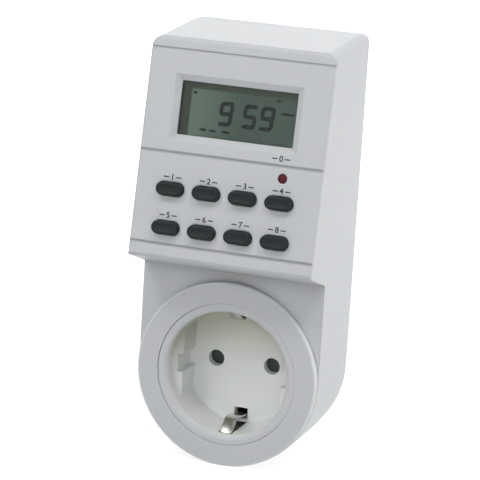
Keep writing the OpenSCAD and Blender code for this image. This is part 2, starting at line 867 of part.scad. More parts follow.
// The neutral contact also reaches back to the neutral pin
module neutral_contact() {
    link = sleeve_d / 2 + 0.1;
    color(brass) {
        contact(pins[1]);
        translate([pins[1], 0, 0]) {
            for (s = [0, 1]) mirror([s, 0, 0])
                block([0.8, earth_y, -link - strip_t], [1.6, tail_y + 0.4 + strip_t, -link]);
            difference() {
                block([-tail_r - 1.2, tail_y + 0.4, -link - strip_t],
                    [tail_r + 1.2, tail_y + 0.4 + strip_t, tail_r + 1.2]);
                bar(tail_r + 0.02, 0, far);
            }
        }
    }
}

// ---- earth path ----

// From the upper clip's foot, over its crest, through the floor and half way down
clip_way = [
    [front_y + 3.6, clip_end], [front_y + 8.6, clip_crest + 0.3],
    [front_y + 10.6, clip_crest + strip_t / 2], [floor_y - 1, clip_z],
    [earth_y + strip_t / 2, clip_z], [earth_y + strip_t / 2, -eps]
];

module socket_earth_strap() {
    color(nickel) difference() {
        for (s = [0, 1]) mirror([0, 0, s]) across(clip_w / 2) strip_outline(clip_way, strip_t);
        bar(rivet_r + 0.05, -far, far);
    }
}

// From the middle, along inside the barrel, out through its wall and back outside it
leg_z = barrel_in - 0.8;
outer_z = barrel_in + 1.3;
plug_way = [
    [earth_y + 1.5 * strip_t, -eps], [earth_y + 1.5 * strip_t, leg_z],
    [nose_y - 0.8, leg_z], [nose_y - 0.8, outer_z],
    [nose_y - 5, outer_z + 0.4], [1.6, outer_z]
];

module plug_earth_strap() {
    color(nickel) difference() {
        for (s = [0, 1]) mirror([0, 0, s])
            across(plug_clip_w / 2) strip_outline(plug_way, strip_t);
        bar(rivet_r + 0.05, -far, far);
    }
}

// The rivet that joins the two straps
module earth_rivet() {
    color(nickel) {
        bar(rivet_head_r, earth_y - rivet_head_h, earth_y);
        bar(rivet_r, earth_y - rivet_head_h, earth_y + 2 * strip_t + eps);
        bar(rivet_head_r - 0.2, earth_y + 2 * strip_t, earth_y + 2 * strip_t + rivet_head_h);
    }
}

// ---- plug ----

module pin(x) {
    color(nickel) translate([x, 0, 0]) {
        tip = barrel_len + pin_len;
        bar(pin_r, barrel_len, tip - 0.8);
        translate([0, tip - 0.8, 0]) rotate([-90, 0, 0])
            cylinder(r1 = pin_r, r2 = pin_r - 0.8, h = 0.8);
        bar(shank_r, collar_y - eps, barrel_len + eps);
        bar(pin_r + pin_collar, collar_y - pin_collar_t, collar_y);
        bar(tail_r, tail_y, collar_y - pin_collar_t + eps);
    }
}

module pin_retainer() {
    color(dark_grey * 2) difference() {
        intersection() {
            along_y(retainer_y, retainer_y + retainer_t)
                barrel_outline(barrel_wall + 0.3, false);
            block([-far, 0, -leg_z + 1.2], [far, far, leg_z - 1.2]);
        }
        for (x = pins) translate([x, 0, 0]) bar(tail_r + 0.1, 0, far);
        for (z = [-1, 1]) translate([0, 0, z * retainer_screw_z])
            bar(small_hole_r, 0, far);
    }
}

module retainer_screws() {
    color(nickel) for (z = [-1, 1])
        translate([0, retainer_y, z * retainer_screw_z]) rotate([180, 0, 0])
            screw(small_screw_d, small_head_d, retainer_t + 3.2, 0.7);
}

// ---- display ----

module display_window() {
    color([0.75, 0.8, 0.78, 0.5]) on_panel() translate([0, lcd_v, 0]) {
        translate([-window_in_w / 2, -window_in_h / 2, -wall - fit])
            cube([window_in_w, window_in_h, wall - lcd_bevel_d]);
        translate([-glass_w_half, -glass_h_half, window_w])
            cube([2 * glass_w_half, 2 * glass_h_half, window_t - fit / 2]);
    }
}

module display_holder() {
    wide = 2 * (glass_w_half + holder_gap);
    high = 2 * (glass_h_half + holder_gap);
    tall = -wall - 2 * fit - board_w;
    color(dark_grey) on_panel() translate([0, lcd_v, board_w]) difference() {
        translate([-wide / 2 - holder_wall, -high / 2 - holder_wall, 0])
            cube([wide + 2 * holder_wall, high + 2 * holder_wall, tall]);
        translate([-wide / 2, -high / 2, -1]) cube([wide, high, tall + 2]);
    }
}

// Two plates; the rear one is higher and carries the contact edges
module display_glass() {
    color([0.45, 0.52, 0.42]) on_panel() translate([0, lcd_v, 0]) {
        translate([-glass_w_half, -glass_h_half + 1, glass_w - glass_t])
            cube([2 * glass_w_half, 2 * glass_h_half - 2, glass_t]);
        translate([-glass_w_half, -glass_h_half, glass_back])
            cube([2 * glass_w_half, 2 * glass_h_half, glass_t + eps]);
    }
}

module connector_strips() {
    color([0.15, 0.15, 0.16]) on_panel() for (s = [-1, 1])
        translate([-glass_w_half + 1, lcd_v + s * (glass_h_half - zebra_w / 2) - zebra_w / 2, board_w])
            cube([2 * glass_w_half - 2, zebra_w, glass_back - board_w]);
}

// ---- keys and control board ----

module key(i) {
    top = -wall - 0.3;
    color(dark_grey) on_panel() translate(key_place(i)) {
        translate([0, 0, top - eps]) linear_extrude(key_out - top - 0.4 + eps)
            slot_outline(key_w, key_h);
        translate([0, 0, key_out - 0.4 - eps]) linear_extrude(0.4 + eps)
            slot_outline(key_w - 0.6, key_h - 0.6);
        translate([0, 0, top - key_collar_t]) linear_extrude(key_collar_t)
            slot_outline(key_w + 2 * key_collar, key_h + 2 * key_collar);
        translate([0, 0, plunger_top]) cylinder(d = plunger_d, h = key_stem + eps);
    }
}

// The clear key lies just below the panel's face
module clear_key() {
    top = -wall - 0.3;
    color([0.55, 0.08, 0.14]) on_panel() translate(clear_place) {
        translate([0, 0, top - eps]) cylinder(d = clear_d, h = -top - 0.2 + eps);
        translate([0, 0, top - key_collar_t])
            cylinder(d = clear_d + 2 * key_collar, h = key_collar_t);
        translate([0, 0, plunger_top]) cylinder(d = clear_d - 0.4, h = key_stem + eps);
    }
}

module plunger(place) {
    color([0.1, 0.1, 0.1]) on_panel() translate(place)
        translate([0, 0, plunger_top - switch_out - key_travel - 0.3])
            cylinder(d = plunger_d, h = switch_out + key_travel + 0.3);
}

module push_switches() {
    color([0.2, 0.2, 0.21]) on_panel()
        for (p = concat([for (i = [0:7]) key_place(i)], [clear_place]))
            translate([p.x, p.y, board_w]) difference() {
                translate([-switch_w / 2, -switch_w / 2, 0]) cube([switch_w, switch_w, switch_h]);
                translate([0, 0, switch_h - 2 * key_travel - 0.5])
                    cylinder(d = plunger_d + 0.2, h = 2 * key_travel + 1);
            }
}

module control_board() {
    color(board_green) on_panel() difference() {
        translate([-board_half, board_v[0], board_back])
            cube([2 * board_half, board_v[1] - board_v[0], board_t]);
        for (s = [-1, 1], v = post_vs) translate([s * post_x, v, board_back - 1])
            cylinder(r = small_hole_r, h = board_t + 2);
    }
}

module control_chip() {
    leg = 0.9;
    legs = floor((chip_w - 2) / chip_pitch);
    color([0.12, 0.12, 0.13]) on_panel()
        translate([-chip_w, row_v + row_pitch - key_h, board_back - chip_t]) {
            cube([chip_w, chip_w, chip_t]);
            for (i = [0:legs]) translate([-leg, 1 + i * chip_pitch, chip_t / 2])
                for (x = [0, chip_w + leg - eps]) translate([x, 0, 0])
                    cube([leg + eps, 0.5, chip_t / 2]);
        }
}

module quartz_crystal() {
    rim = 0.3;
    color(nickel) on_panel()
        translate([board_half - post_r - crystal_w - 5, row_v + crystal_t, board_back - crystal_h]) {
            linear_extrude(crystal_h) slot_outline(crystal_w, crystal_t);
            translate([0, 0, crystal_h - 0.5]) linear_extrude(0.5)
                slot_outline(crystal_w + 2 * rim, crystal_t + 2 * rim);
        }
}

// A button cell on two welded tabs
module backup_battery() {
    tab_t = 1;
    back = board_back - tab_t - cell_t;
    color(nickel) on_panel() translate([board_half - post_r - cell_d / 2 - 5.5, clear_v + 8.6, 0]) {
        translate([0, 0, back]) cylinder(d = cell_d, h = cell_t);
        translate([0, 0, back - 0.3]) cylinder(d = cell_d - 4.6, h = 0.3 + eps);
        for (s = [-1, 1]) translate([-2, s * (cell_d / 2 - 2.3) - 1, board_back - tab_t - eps])
            cube([4, 2, tab_t + eps]);
    }
}

module board_screws() {
    color(nickel) on_panel() for (s = [-1, 1], v = post_vs)
        translate([s * post_x, v, board_back]) rotate([90, 0, 0])
            mirror([0, 1, 0]) screw(small_screw_d, small_head_d - 0.2, board_t + 3.4, 0.6);
}

// ---- power board ----

module power_board() {
    color([0.62, 0.5, 0.26]) difference() {
        block([-power_half, power_front, power_z[0]], [power_half, power_y, power_z[1]]);
        for (p = power_posts) translate([p.x, 0, p.y])
            bar(small_hole_r, power_front - 1, power_y + 1);
    }
}

post_zone = 5 + power_post_r + 1.5;     // height at the board's ends kept for its screws
relay_x = 2.5 - power_half;
relay_z = power_z[0] + post_zone;

module relay() {
    color([0.1, 0.25, 0.5]) block([relay_x, power_front - relay_d, relay_z],
        [relay_x + relay_w, power_front, relay_z + relay_h]);
}

film_x = power_half - 4 - small_head_d - film_w - 1;
film_z = power_z[0] + 5;

module film_capacitor() {
    color([0.75, 0.6, 0.2]) block([film_x, power_front - film_d, film_z],
        [film_x + film_w, power_front, film_z + film_h]);
}

module smoothing_capacitor() {
    color([0.15, 0.15, 0.3])
        translate([relay_x + relay_w - can_d / 2, 0, relay_z + relay_h + can_d / 2 + 5]) {
            bar(can_d / 2, power_front - can_l + 0.5, power_front);
            bar(can_d / 2 - 0.4, power_front - can_l, power_front - can_l + 0.5 + eps);
        }
}

module surge_varistor() {
    lift = varistor_d / 2 + 1.5;
    color([0.2, 0.4, 0.65])
        translate([power_half - 8, power_front, film_z + film_h + varistor_d / 2 + 5.5]) {
            rotate([0, 90, 0]) translate([0, -lift, -varistor_t / 2])
                cylinder(d = varistor_d, h = varistor_t);
            for (s = [-1, 1]) translate([0, 0, s * varistor_d * 0.28])
                bar(leg_d / 2, -lift / 2, 0);
        }
}

// A round part lying along x above the board on two bent legs
module lying_part(d, length, span) {
    y = power_front - d / 2 - leg_d;
    rotate([0, 90, 0]) translate([0, y, -length / 2]) cylinder(d = d, h = length);
    for (s = [-1, 1]) wire([
        [s * (length / 2 - 0.5), y, 0], [s * span / 2, y, 0], [s * span / 2, power_front, 0]
    ], leg_d);
}

module dropper_resistor() {
    color([0.5, 0.5, 0.42])
        translate([power_half - resistor_l / 2 - 7.5, 0, power_z[1] - 9])
            lying_part(resistor_d, resistor_l, resistor_l + 4);
}

module rectifier_diodes() {
    color([0.12, 0.12, 0.12]) for (i = [0:3])
        translate([film_x + diode_l + 2, 0, film_z + film_h + 6 + diode_pitch * i])
            lying_part(diode_d, diode_l, 2 * diode_l - 0.8);
}

// A flat cable from the power board to the back of the control board
cable_z = power_z[1] - 10;
cable_v = lcd_v - 1.3;
cable_end = panel_point(cable_v, board_back);
cable_way = [
    [power_front, cable_z], [power_front - cable_end_l, cable_z],
    [power_front - cable_end_l - 5.5, cable_z - cable_end_l],
    cable_end + cable_end_l * [cos(panel_tilt), -sin(panel_tilt)], cable_end
];

module ribbon_cable() {
    color([0.7, 0.7, 0.72]) across(cable_w / 2) strip_outline(cable_way, cable_t);
}

// ---- leads ----

lead_y = -wall - 2 * lead_d;
lead_z = block_h + lead_d / 2 + 0.5;        // the live lead passes over the contact block

module live_lead() {
    x = pins[0] + lead_step + 0.5;
    color([0.45, 0.25, 0.12]) wire([
        [pins[0], tail_y, 0], [pins[0], tail_y - lead_in, 0], [x, tail_y - lead_in, lead_z],
        [x, lead_y, lead_z], [x, lead_y, power_z[0] + lead_d], [x, power_y, power_z[0] + lead_d]
    ], lead_d);
}

// A lead from a contact's tail up to the power board
module tail_lead(x, s) {
    side = x + s * lead_step;
    wire([
        [x, earth_y, tail_top - lead_d], [x, lead_y, tail_top - lead_d],
        [side, lead_y, power_z[0] + 2 * lead_d], [side, power_y, power_z[0] + 2 * lead_d]
    ], lead_d);
}

module switched_lead() {
    color([0.1, 0.1, 0.1]) tail_lead(pins[0], -1);
}

module neutral_lead() {
    color([0.15, 0.35, 0.7]) tail_lead(pins[1], 1);
}

// ---- screws ----

module power_board_screws() {
    color(nickel) for (p = power_posts) translate([p.x, power_front, p.y]) rotate([180, 0, 0])
        screw(small_screw_d, small_head_d, board_t + standoff_h - 1, 0.6);
}

module housing_screws() {
    color(nickel) for (p = screws) translate([p.x, head_y, p.y])
        screw(screw_d, screw_head_d, head_y - screw_tip, 0.9);
}

front_housing();
rear_cover();
socket_insert();
contact_block();
shutter();
shutter_spring();
live_contact();
neutral_contact();
socket_earth_strap();
plug_earth_strap();
earth_rivet();
pin(pins[0]);  // live_pin
pin(pins[1]);  // neutral_pin
pin_retainer();
retainer_screws();
display_window();
display_holder();
display_glass();
connector_strips();
control_board();
control_chip();
quartz_crystal();
backup_battery();
push_switches();
key(0);  // week_key
key(1);  // hour_key
key(2);  // minute_key
key(3);  // recall_key
key(4);  // clock_key
key(5);  // timer_key
key(6);  // mode_key
key(7);  // random_key
clear_key();
plunger(key_place(0));  // week_plunger
plunger(key_place(1));  // hour_plunger
plunger(key_place(2));  // minute_plunger
plunger(key_place(3));  // recall_plunger
plunger(key_place(4));  // clock_plunger
plunger(key_place(5));  // timer_plunger
plunger(key_place(6));  // mode_plunger
plunger(key_place(7));  // random_plunger
plunger(clear_place);  // clear_plunger
power_board();
relay();
film_capacitor();
smoothing_capacitor();
surge_varistor();
dropper_resistor();
rectifier_diodes();
ribbon_cable();
live_lead();
switched_lead();
neutral_lead();
board_screws();
power_board_screws();
housing_screws();
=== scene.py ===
import math

import bmesh
import bpy
from mathutils import Matrix, Vector


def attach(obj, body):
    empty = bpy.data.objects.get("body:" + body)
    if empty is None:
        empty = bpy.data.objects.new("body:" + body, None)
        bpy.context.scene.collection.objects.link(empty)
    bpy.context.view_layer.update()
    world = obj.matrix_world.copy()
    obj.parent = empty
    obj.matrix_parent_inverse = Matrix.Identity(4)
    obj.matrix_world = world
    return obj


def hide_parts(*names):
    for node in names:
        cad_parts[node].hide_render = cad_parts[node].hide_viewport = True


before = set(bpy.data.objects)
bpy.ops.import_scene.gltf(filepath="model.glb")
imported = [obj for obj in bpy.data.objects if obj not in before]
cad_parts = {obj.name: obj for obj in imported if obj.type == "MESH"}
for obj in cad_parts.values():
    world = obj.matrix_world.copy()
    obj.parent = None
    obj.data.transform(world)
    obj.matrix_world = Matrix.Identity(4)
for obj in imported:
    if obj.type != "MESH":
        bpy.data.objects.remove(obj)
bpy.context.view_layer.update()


# ---- Front housing ----
# The visible white shell with its tilted head and the round collar of the socket. One moulding
# in white polycarbonate with the fine satin of an eroded mould. It closes over the rear cover's
# tongue.

MM = 0.001                       # every piece is worked in millimetres and placed in metres


def fill(tree, node, values):
    """Feeds a node's inputs, each with a value or from another node's socket."""
    for name, value in values.items():
        socket = node.inputs[name]
        if isinstance(value, bpy.types.NodeSocket):
            tree.links.new(value, socket)
        else:
            socket.default_value = (*value, 1) if socket.type == "RGBA" else value


def shader_node(tree, kind, values, **settings):
    """A new shader node with its settings and its inputs."""
    node = tree.nodes.new("ShaderNode" + kind)
    for name, value in settings.items():
        setattr(node, name, value)
    fill(tree, node, values)
    return node


def sums(tree, operation, *values):
    """The result of a Math node over its values."""
    return shader_node(tree, "Math", dict(enumerate(values)), operation=operation).outputs[0]


def blend(tree, fac, a, b):
    """A colour between a and b."""
    return shader_node(tree, "Mix", {0: fac, 6: a, 7: b}, data_type="RGBA").outputs[2]


def split(tree, value, low, high):
    """0 below low, 1 above high, smooth between."""
    return shader_node(tree, "MapRange", {"Value": value, "From Min": low, "From Max": high},
                       interpolation_type="SMOOTHSTEP").outputs["Result"]


def noise(tree, point, scale, detail):
    """A noise with that many waves to a metre."""
    return shader_node(tree, "TexNoise", {"Vector": point, "Scale": scale,
                                          "Detail": detail}).outputs["Fac"]


def on_object(tree):
    """The point on the object, in metres."""
    return shader_node(tree, "TexCoord", {}).outputs["Object"]


def axes(tree, point):
    """X, Y and Z of a point."""
    return shader_node(tree, "SeparateXYZ", {0: point}).outputs


def from_axis(tree):
    """The distance from the socket's axis, in metres."""
    flat = shader_node(tree, "VectorMath", {0: on_object(tree), 1: (1, 0, 1)},
                       operation="MULTIPLY")
    return shader_node(tree, "VectorMath", {0: flat.outputs["Vector"]},
                       operation="LENGTH").outputs["Value"]


def shader_group(name, takes, gives):
    """A new node group with its inputs (name, kind, value) and its outputs (name, kind)."""
    group = bpy.data.node_groups.new(name, "ShaderNodeTree")
    for label, kind, value in takes:
        group.interface.new_socket(
            label, in_out="INPUT", socket_type="NodeSocket" + kind).default_value = value
    for label, kind in gives:
        group.interface.new_socket(label, in_out="OUTPUT", socket_type="NodeSocket" + kind)
    return group, group.nodes.new("NodeGroupInput").outputs, group.nodes.new("NodeGroupOutput")


def moulded_group():
    """Moulded plastic: a drifting colour, a grain, paler edges, partly rubbing and partly a
    painted highlight, and painted shade in inner corners.
    """
    g, given, out = shader_group(
        "moulded_surface",
        (("Colour", "Color", (0.8, 0.8, 0.8, 1)), ("Drift", "Float", 0.03),
         ("Roughness", "Float", 0.4), ("Grain size", "Float", 0.15),
         ("Edge radius", "Float", 0.25), ("Edge wear", "Float", 0.1), ("Painted shade", "Float", 0.0)),
        (("Colour", "Color"), ("Roughness", "Float"), ("Height", "Float"), ("Normal", "Vector")))
    point = on_object(g)

    # The colour and the polish drift over a centimetre or two, to either side of what is given
    cloud = noise(g, point, 70, 3)
    level = sums(g, "ADD", sums(g, "MULTIPLY_ADD", cloud, given["Drift"], 1),
                 sums(g, "MULTIPLY", given["Drift"], -0.5))
    tint = shader_node(g, "VectorMath", {0: given["Colour"], "Scale": level}, operation="SCALE")
    polish = sums(g, "MULTIPLY_ADD", cloud, 0.12, given["Roughness"])

    # The grain's size is given in millimetres
    grain = noise(g, point, sums(g, "DIVIDE", 1 / MM, given["Grain size"]), 2)

    # Rounded edges, and how much they turn the surface
    width = sums(g, "MULTIPLY", given["Edge radius"], MM)
    soft = shader_node(g, "Bevel", {"Radius": width}, samples=6).outputs["Normal"]
    plain = shader_node(g, "NewGeometry", {}).outputs["True Normal"]
    turn = shader_node(g, "VectorMath", {0: soft, 1: plain}, operation="DOT_PRODUCT")
    edge = sums(g, "SUBTRACT", 1, turn.outputs["Value"])
    # Paler edges: partly rubbing, partly a painted highlight on the rounded edges
    edge_wear_and_highlight = shader_node(g, "Math", {0: edge, 1: given["Edge wear"]}, operation="MULTIPLY",
                      use_clamp=True)
    worn_and_highlit = blend(g, edge_wear_and_highlight.outputs[0], tint.outputs["Vector"], (0.9, 0.9, 0.9))

    # Painted shade: a grey darkening where the surface is closed in, from ambient occlusion
    corner = shader_node(g, "AmbientOcclusion", {"Distance": 12 * MM}, samples=6,
                         only_local=True)
    film = sums(g, "MULTIPLY", sums(g, "SUBTRACT", 1, corner.outputs["AO"]), given["Painted shade"])
    fill(g, out, {"Colour": blend(g, film, worn_and_highlit, (0.12, 0.13, 0.13)),
                  "Roughness": sums(g, "SUBTRACT", polish, 0.06), "Height": grain,
                  "Normal": soft})
    return g


moulded_surface = moulded_group()


def blank_material(name):
    """A new material and its shader."""
    made = bpy.data.materials.new(name)
    made.use_nodes = True
    return made, made.node_tree, made.node_tree.nodes["Principled BSDF"]


def plastic(name, colour, roughness=0.4, drift=0.03, grain=0.15, depth=0.01, edge=0.25,
            wear_and_highlight=0.3, specular=0.5):
    """A moulded plastic: its colour, and its finish from the moulded_surface group."""
    made, tree, shader = blank_material(name)
    skin = shader_node(tree, "Group", {
        "Colour": colour, "Drift": drift, "Roughness": roughness, "Grain size": grain,
        "Edge radius": edge, "Edge wear": wear_and_highlight}, node_tree=moulded_surface).outputs
    bump = shader_node(tree, "Bump", {"Distance": depth * MM, "Height": skin["Height"],
                                      "Normal": skin["Normal"]})
    fill(tree, shader, {"Base Color": skin["Colour"], "Roughness": skin["Roughness"],
                        "Normal": bump.outputs["Normal"], "Specular IOR Level": specular})
    return made


def part_of(material):
    """The tree of a plastic and the group node that holds its finish."""
    tree = material.node_tree
    return tree, next(n for n in tree.nodes if n.type == "GROUP")


def dress(node, material):
    """Gives a CAD node's own object a material."""
    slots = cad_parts[node].material_slots
    if not slots:
        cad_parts[node].data.materials.append(material)
    for slot in slots:
        slot.material = material


shell_colour = (0.66, 0.68, 0.70)
# Its strong edge paling is mostly a painted highlight along its edges
shell_white = plastic("shell_white", shell_colour, roughness=0.42, drift=0.02, grain=0.12,
                      depth=0.006, edge=0.55, wear_and_highlight=1.6, specular=0.3)
tree, skin = part_of(shell_white)
point, radius = axes(tree, on_object(tree)), from_axis(tree)
# Painted shade falls under and over the head only, and the collar's outer rim gets a painted
# highlight
head = split(tree, point["Z"], 22 * MM, 33 * MM)
rim = sums(tree, "SUBTRACT", split(tree, radius, 29.2 * MM, 29.6 * MM),
           split(tree, radius, 30.3 * MM, 30.6 * MM))
raised = sums(tree, "SUBTRACT", 1, split(tree, point["Y"], -32.1 * MM, -31.7 * MM))
rim_highlight = blend(tree, sums(tree, "MULTIPLY", rim, raised), shell_colour, (0.84, 0.86, 0.87))
fill(tree, skin, {"Painted shade": sums(tree, "MULTIPLY", head, 0.88), "Colour": rim_highlight})
dress("front_housing", shell_white)


# ---- Rear cover ----
# The shallow back half of the housing with the plug's barrel moulded on. The same white
# plastic as the front. Four screws from the back hold it to the front housing.

dress("rear_cover", shell_white)


# ---- Socket insert ----
# The round well of the socket with its guide blocks and floor, a separate moulding of heat-proof
# resin. The well is polished and nearly white, painted paler than the shell as painted light
# bouncing inside it; the ring round its mouth has the grey satin of the shell. It is put in from
# behind the collar.

socket_white = plastic("socket_white", (0.78, 0.79, 0.77), roughness=0.3, drift=0.02, grain=0.2,
                       depth=0.004, specular=0.35)
tree, skin = part_of(socket_white)
point, radius = axes(tree, on_object(tree)), from_axis(tree)
# Painted shade: wall and floor are darker and a little yellow towards the top, where the head
# shades them; the floor is painted paler than the wall, as painted light
high = split(tree, point["Z"], -3 * MM, 15 * MM)
wall = blend(tree, high, (0.80, 0.82, 0.80), (0.46, 0.475, 0.385))
floor = blend(tree, high, (0.96, 0.98, 0.99), (0.63, 0.635, 0.54))
well = blend(tree, split(tree, point["Y"], -17.5 * MM, -15.8 * MM), wall, floor)
face = blend(tree, split(tree, radius, 20.1 * MM, 20.7 * MM), well, shell_colour)
# Painted shade: the clips' channels, outside the bore and behind the mouth, are painted black as
# the shadow of open slots
slot_shade = sums(tree, "LESS_THAN", sums(tree, "ABSOLUTE", point["X"]), 2.35 * MM)
for outwards, limit in ((radius, 20.03 * MM), (point["Y"], -30.05 * MM)):
    slot_shade = sums(tree, "MULTIPLY", slot_shade, sums(tree, "GREATER_THAN", outwards, limit))
fill(tree, skin, {"Colour": blend(tree, slot_shade, face, (0.015, 0.015, 0.015))})
dress("socket_insert", socket_white)


# ---- Contact block ----
# Dark phenolic block behind the well's floor. It carries the two contact sleeves and the
# shutter's spring, and is clamped between the floor's pillars and the rear cover.

block_brown = plastic("block_brown", (0.11, 0.085, 0.07), roughness=0.55, drift=0.25, grain=0.4,
                      depth=0.02, edge=0.2, wear_and_highlight=0.2)
dress("contact_block", block_brown)


# ---- Shutter ----
# Two blades on one hub that close the pin holes from behind, in grey-green acetal. Both pins
# together turn it out of the way.

shutter_grey = plastic("shutter_grey", (0.04, 0.055, 0.048), roughness=0.35, drift=0.08, grain=0.3,
                       depth=0.004, edge=0.2, wear_and_highlight=0.15, specular=0.3)
dress("shutter", shutter_grey)


# ---- Shutter spring ----
# Two and a half close turns of hard plated wire round the pivot. One end stands against the
# shutter, the other lies in the contact block and turns the blades back over the holes.

def metal_group():
    """Worked metal: fine lines along one way, a drifting polish and a little tarnish."""
    g, given, out = shader_group(
        "worked_metal",
        (("Colour", "Color", (0.8, 0.8, 0.8, 1)), ("Tarnish", "Color", (0.4, 0.4, 0.4, 1)),
         ("Tarnished", "Float", 0.3), ("Roughness", "Float", 0.25),
         ("Lines", "Vector", (1, 1, 1))),
        (("Colour", "Color"), ("Roughness", "Float"), ("Height", "Float")))
    point = on_object(g)
    stretch = shader_node(g, "VectorMath", {0: point, 1: given["Lines"]}, operation="MULTIPLY")
    lines = noise(g, stretch.outputs["Vector"], 900, 3)
    spots = shader_node(g, "MapRange", {"Value": noise(g, point, 260, 4), "From Min": 0.45,
                                        "From Max": 0.75})
    much = sums(g, "MULTIPLY", spots.outputs["Result"], given["Tarnished"])
    rough = sums(g, "MULTIPLY_ADD", lines, 0.16, given["Roughness"])
    dull = sums(g, "MULTIPLY_ADD", much, 0.25, rough)
    fill(g, out, {"Colour": blend(g, much, given["Colour"], given["Tarnish"]),
                  "Roughness": sums(g, "SUBTRACT", dull, 0.08), "Height": lines})
    return g


worked_metal = metal_group()


def metal(name, colour, tarnish, tarnished=0.3, roughness=0.25, lines=(1, 1, 1)):
    """A bare or plated metal, with its finish from the worked_metal group."""
    made, tree, shader = blank_material(name)
    skin = shader_node(tree, "Group", {
        "Colour": colour, "Tarnish": tarnish, "Tarnished": tarnished, "Roughness": roughness,
        "Lines": lines}, node_tree=worked_metal).outputs
    soft = shader_node(tree, "Bevel", {"Radius": 0.12 * MM})
    bump = shader_node(tree, "Bump", {"Distance": 0.003 * MM, "Height": skin["Height"],
                                      "Normal": soft.outputs["Normal"]})
    fill(tree, shader, {"Base Color": skin["Colour"], "Roughness": skin["Roughness"],
                        "Normal": bump.outputs["Normal"], "Metallic": 1})
    return made


def moved(bm, matrix):
    """The shape of bm, moved or turned."""
    bmesh.ops.transform(bm, matrix=matrix, verts=bm.verts)
    return bm


def joined(*parts):
    """Several shapes as one."""
    out = parts[0]
    for other in parts[1:]:
        held = bpy.data.meshes.new("held")
        other.to_mesh(held)
        other.free()
        out.from_mesh(held)
        bpy.data.meshes.remove(held)
    return out


def closed(bm):
    """Fills the open ends of bm and turns its faces outwards."""
    bmesh.ops.holes_fill(bm, edges=[e for e in bm.edges if e.is_boundary])
    bmesh.ops.recalc_face_normals(bm, faces=bm.faces)
    return bm


def turned(profile, steps=48):
    """A body turned about Z from its half section, [(radius, height), ...] in mm."""
    bm = bmesh.new()
    points = [bm.verts.new((r, 0, z)) for r, z in profile]
    edges = [bm.edges.new(pair) for pair in zip(points, points[1:])]
    bmesh.ops.spin(bm, geom=points + edges, axis=(0, 0, 1), cent=(0, 0, 0), steps=steps,
                   angle=math.tau, use_merge=True)
    bmesh.ops.remove_doubles(bm, verts=bm.verts, dist=1e-4)
    bmesh.ops.recalc_face_normals(bm, faces=bm.faces)
    return bm


def rod(r, length):
    """A round wire up from z = 0."""
    return turned([(0, 0), (r, 0), (r, length), (0, length)], 10)


def to(x, y, z, turn=Matrix()):
    """A turn, then a move to a place."""
    return Matrix.Translation((x, y, z)) @ turn


def piece(bm, name, material, body="housing", instead=None, at=Matrix()):
    """Places a finished mesh in the frame, smooth but for its sharp edges."""
    sharp = math.radians(35)
    moved(bm, Matrix.Scale(MM, 4) @ at)
    for face in bm.faces:
        face.smooth = True
    for edge in bm.edges:
        if len(edge.link_faces) == 2 and edge.calc_face_angle() > sharp:
            edge.smooth = False
    mesh = bpy.data.meshes.new(name)
    bm.to_mesh(mesh)
    bm.free()
    mesh.materials.append(material)
    obj = bpy.data.objects.new(name, mesh)
    bpy.context.scene.collection.objects.link(obj)
    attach(obj, body)
    if instead:
        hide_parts(instead)


ALONG_Y = Matrix.Rotation(math.radians(-90), 4, "X")     # the turning axis laid towards the wall
LYING_X = Matrix.Rotation(math.radians(90), 4, "Y")      # the turning axis laid to the right

nickel_plate = metal("nickel_plate", (0.62, 0.60, 0.56), (0.22, 0.20, 0.17), tarnished=0.45,
                     roughness=0.18, lines=(1, 0.12, 1))
wire_r, coil_r, coil_turns, turn_steps, coil_y = 0.17, 2.2, 2.5, 24, -9.7
coil = bmesh.new()
bmesh.ops.create_circle(coil, segments=10, radius=wire_r)
moved(coil, to(coil_r, 0, wire_r, Matrix.Rotation(math.pi / 2, 4, "X")))
bmesh.ops.spin(coil, geom=coil.verts[:] + coil.edges[:], axis=(0, 0, 1), cent=(0, 0, 0),
               dvec=(0, 0, 2 * wire_r / turn_steps), steps=int(turn_steps * coil_turns),
               angle=-math.tau * coil_turns)
moved(coil, Matrix.Rotation(-math.pi / 2, 4, "Z"))
stand = moved(rod(wire_r, 0.8), to(0, -coil_r, -0.6))
rest = moved(rod(wire_r, 3.1), to(0, coil_r, 2 * wire_r * coil_turns + wire_r, LYING_X))
piece(joined(closed(coil), stand, rest), "shutter_coil", nickel_plate,
      instead="shutter_spring", at=to(0, coil_y, 0, ALONG_Y))


# ---- Contacts ----
# Live and neutral sleeves of sprung brass, slotted below so that they grip a pin, with a
# solder tail above. They are stamped and rolled, and slightly tarnished.

sprung_brass = metal("sprung_brass", (0.78, 0.56, 0.25), (0.35, 0.2, 0.08), tarnished=0.5,
                     roughness=0.28, lines=(0.1, 1, 1))
dress("live_contact", sprung_brass)
dress("neutral_contact", sprung_brass)


# ---- Earth straps and rivet ----
# Two nickel-plated strips of spring steel, riveted back to back through the middle. The front
# one ends in the clips in the well, the rear one in the strips beside the plug's barrel.

def verts_of(geom):
    """The vertices among what an operator made."""
    return [part for part in geom if isinstance(part, bmesh.types.BMVert)]


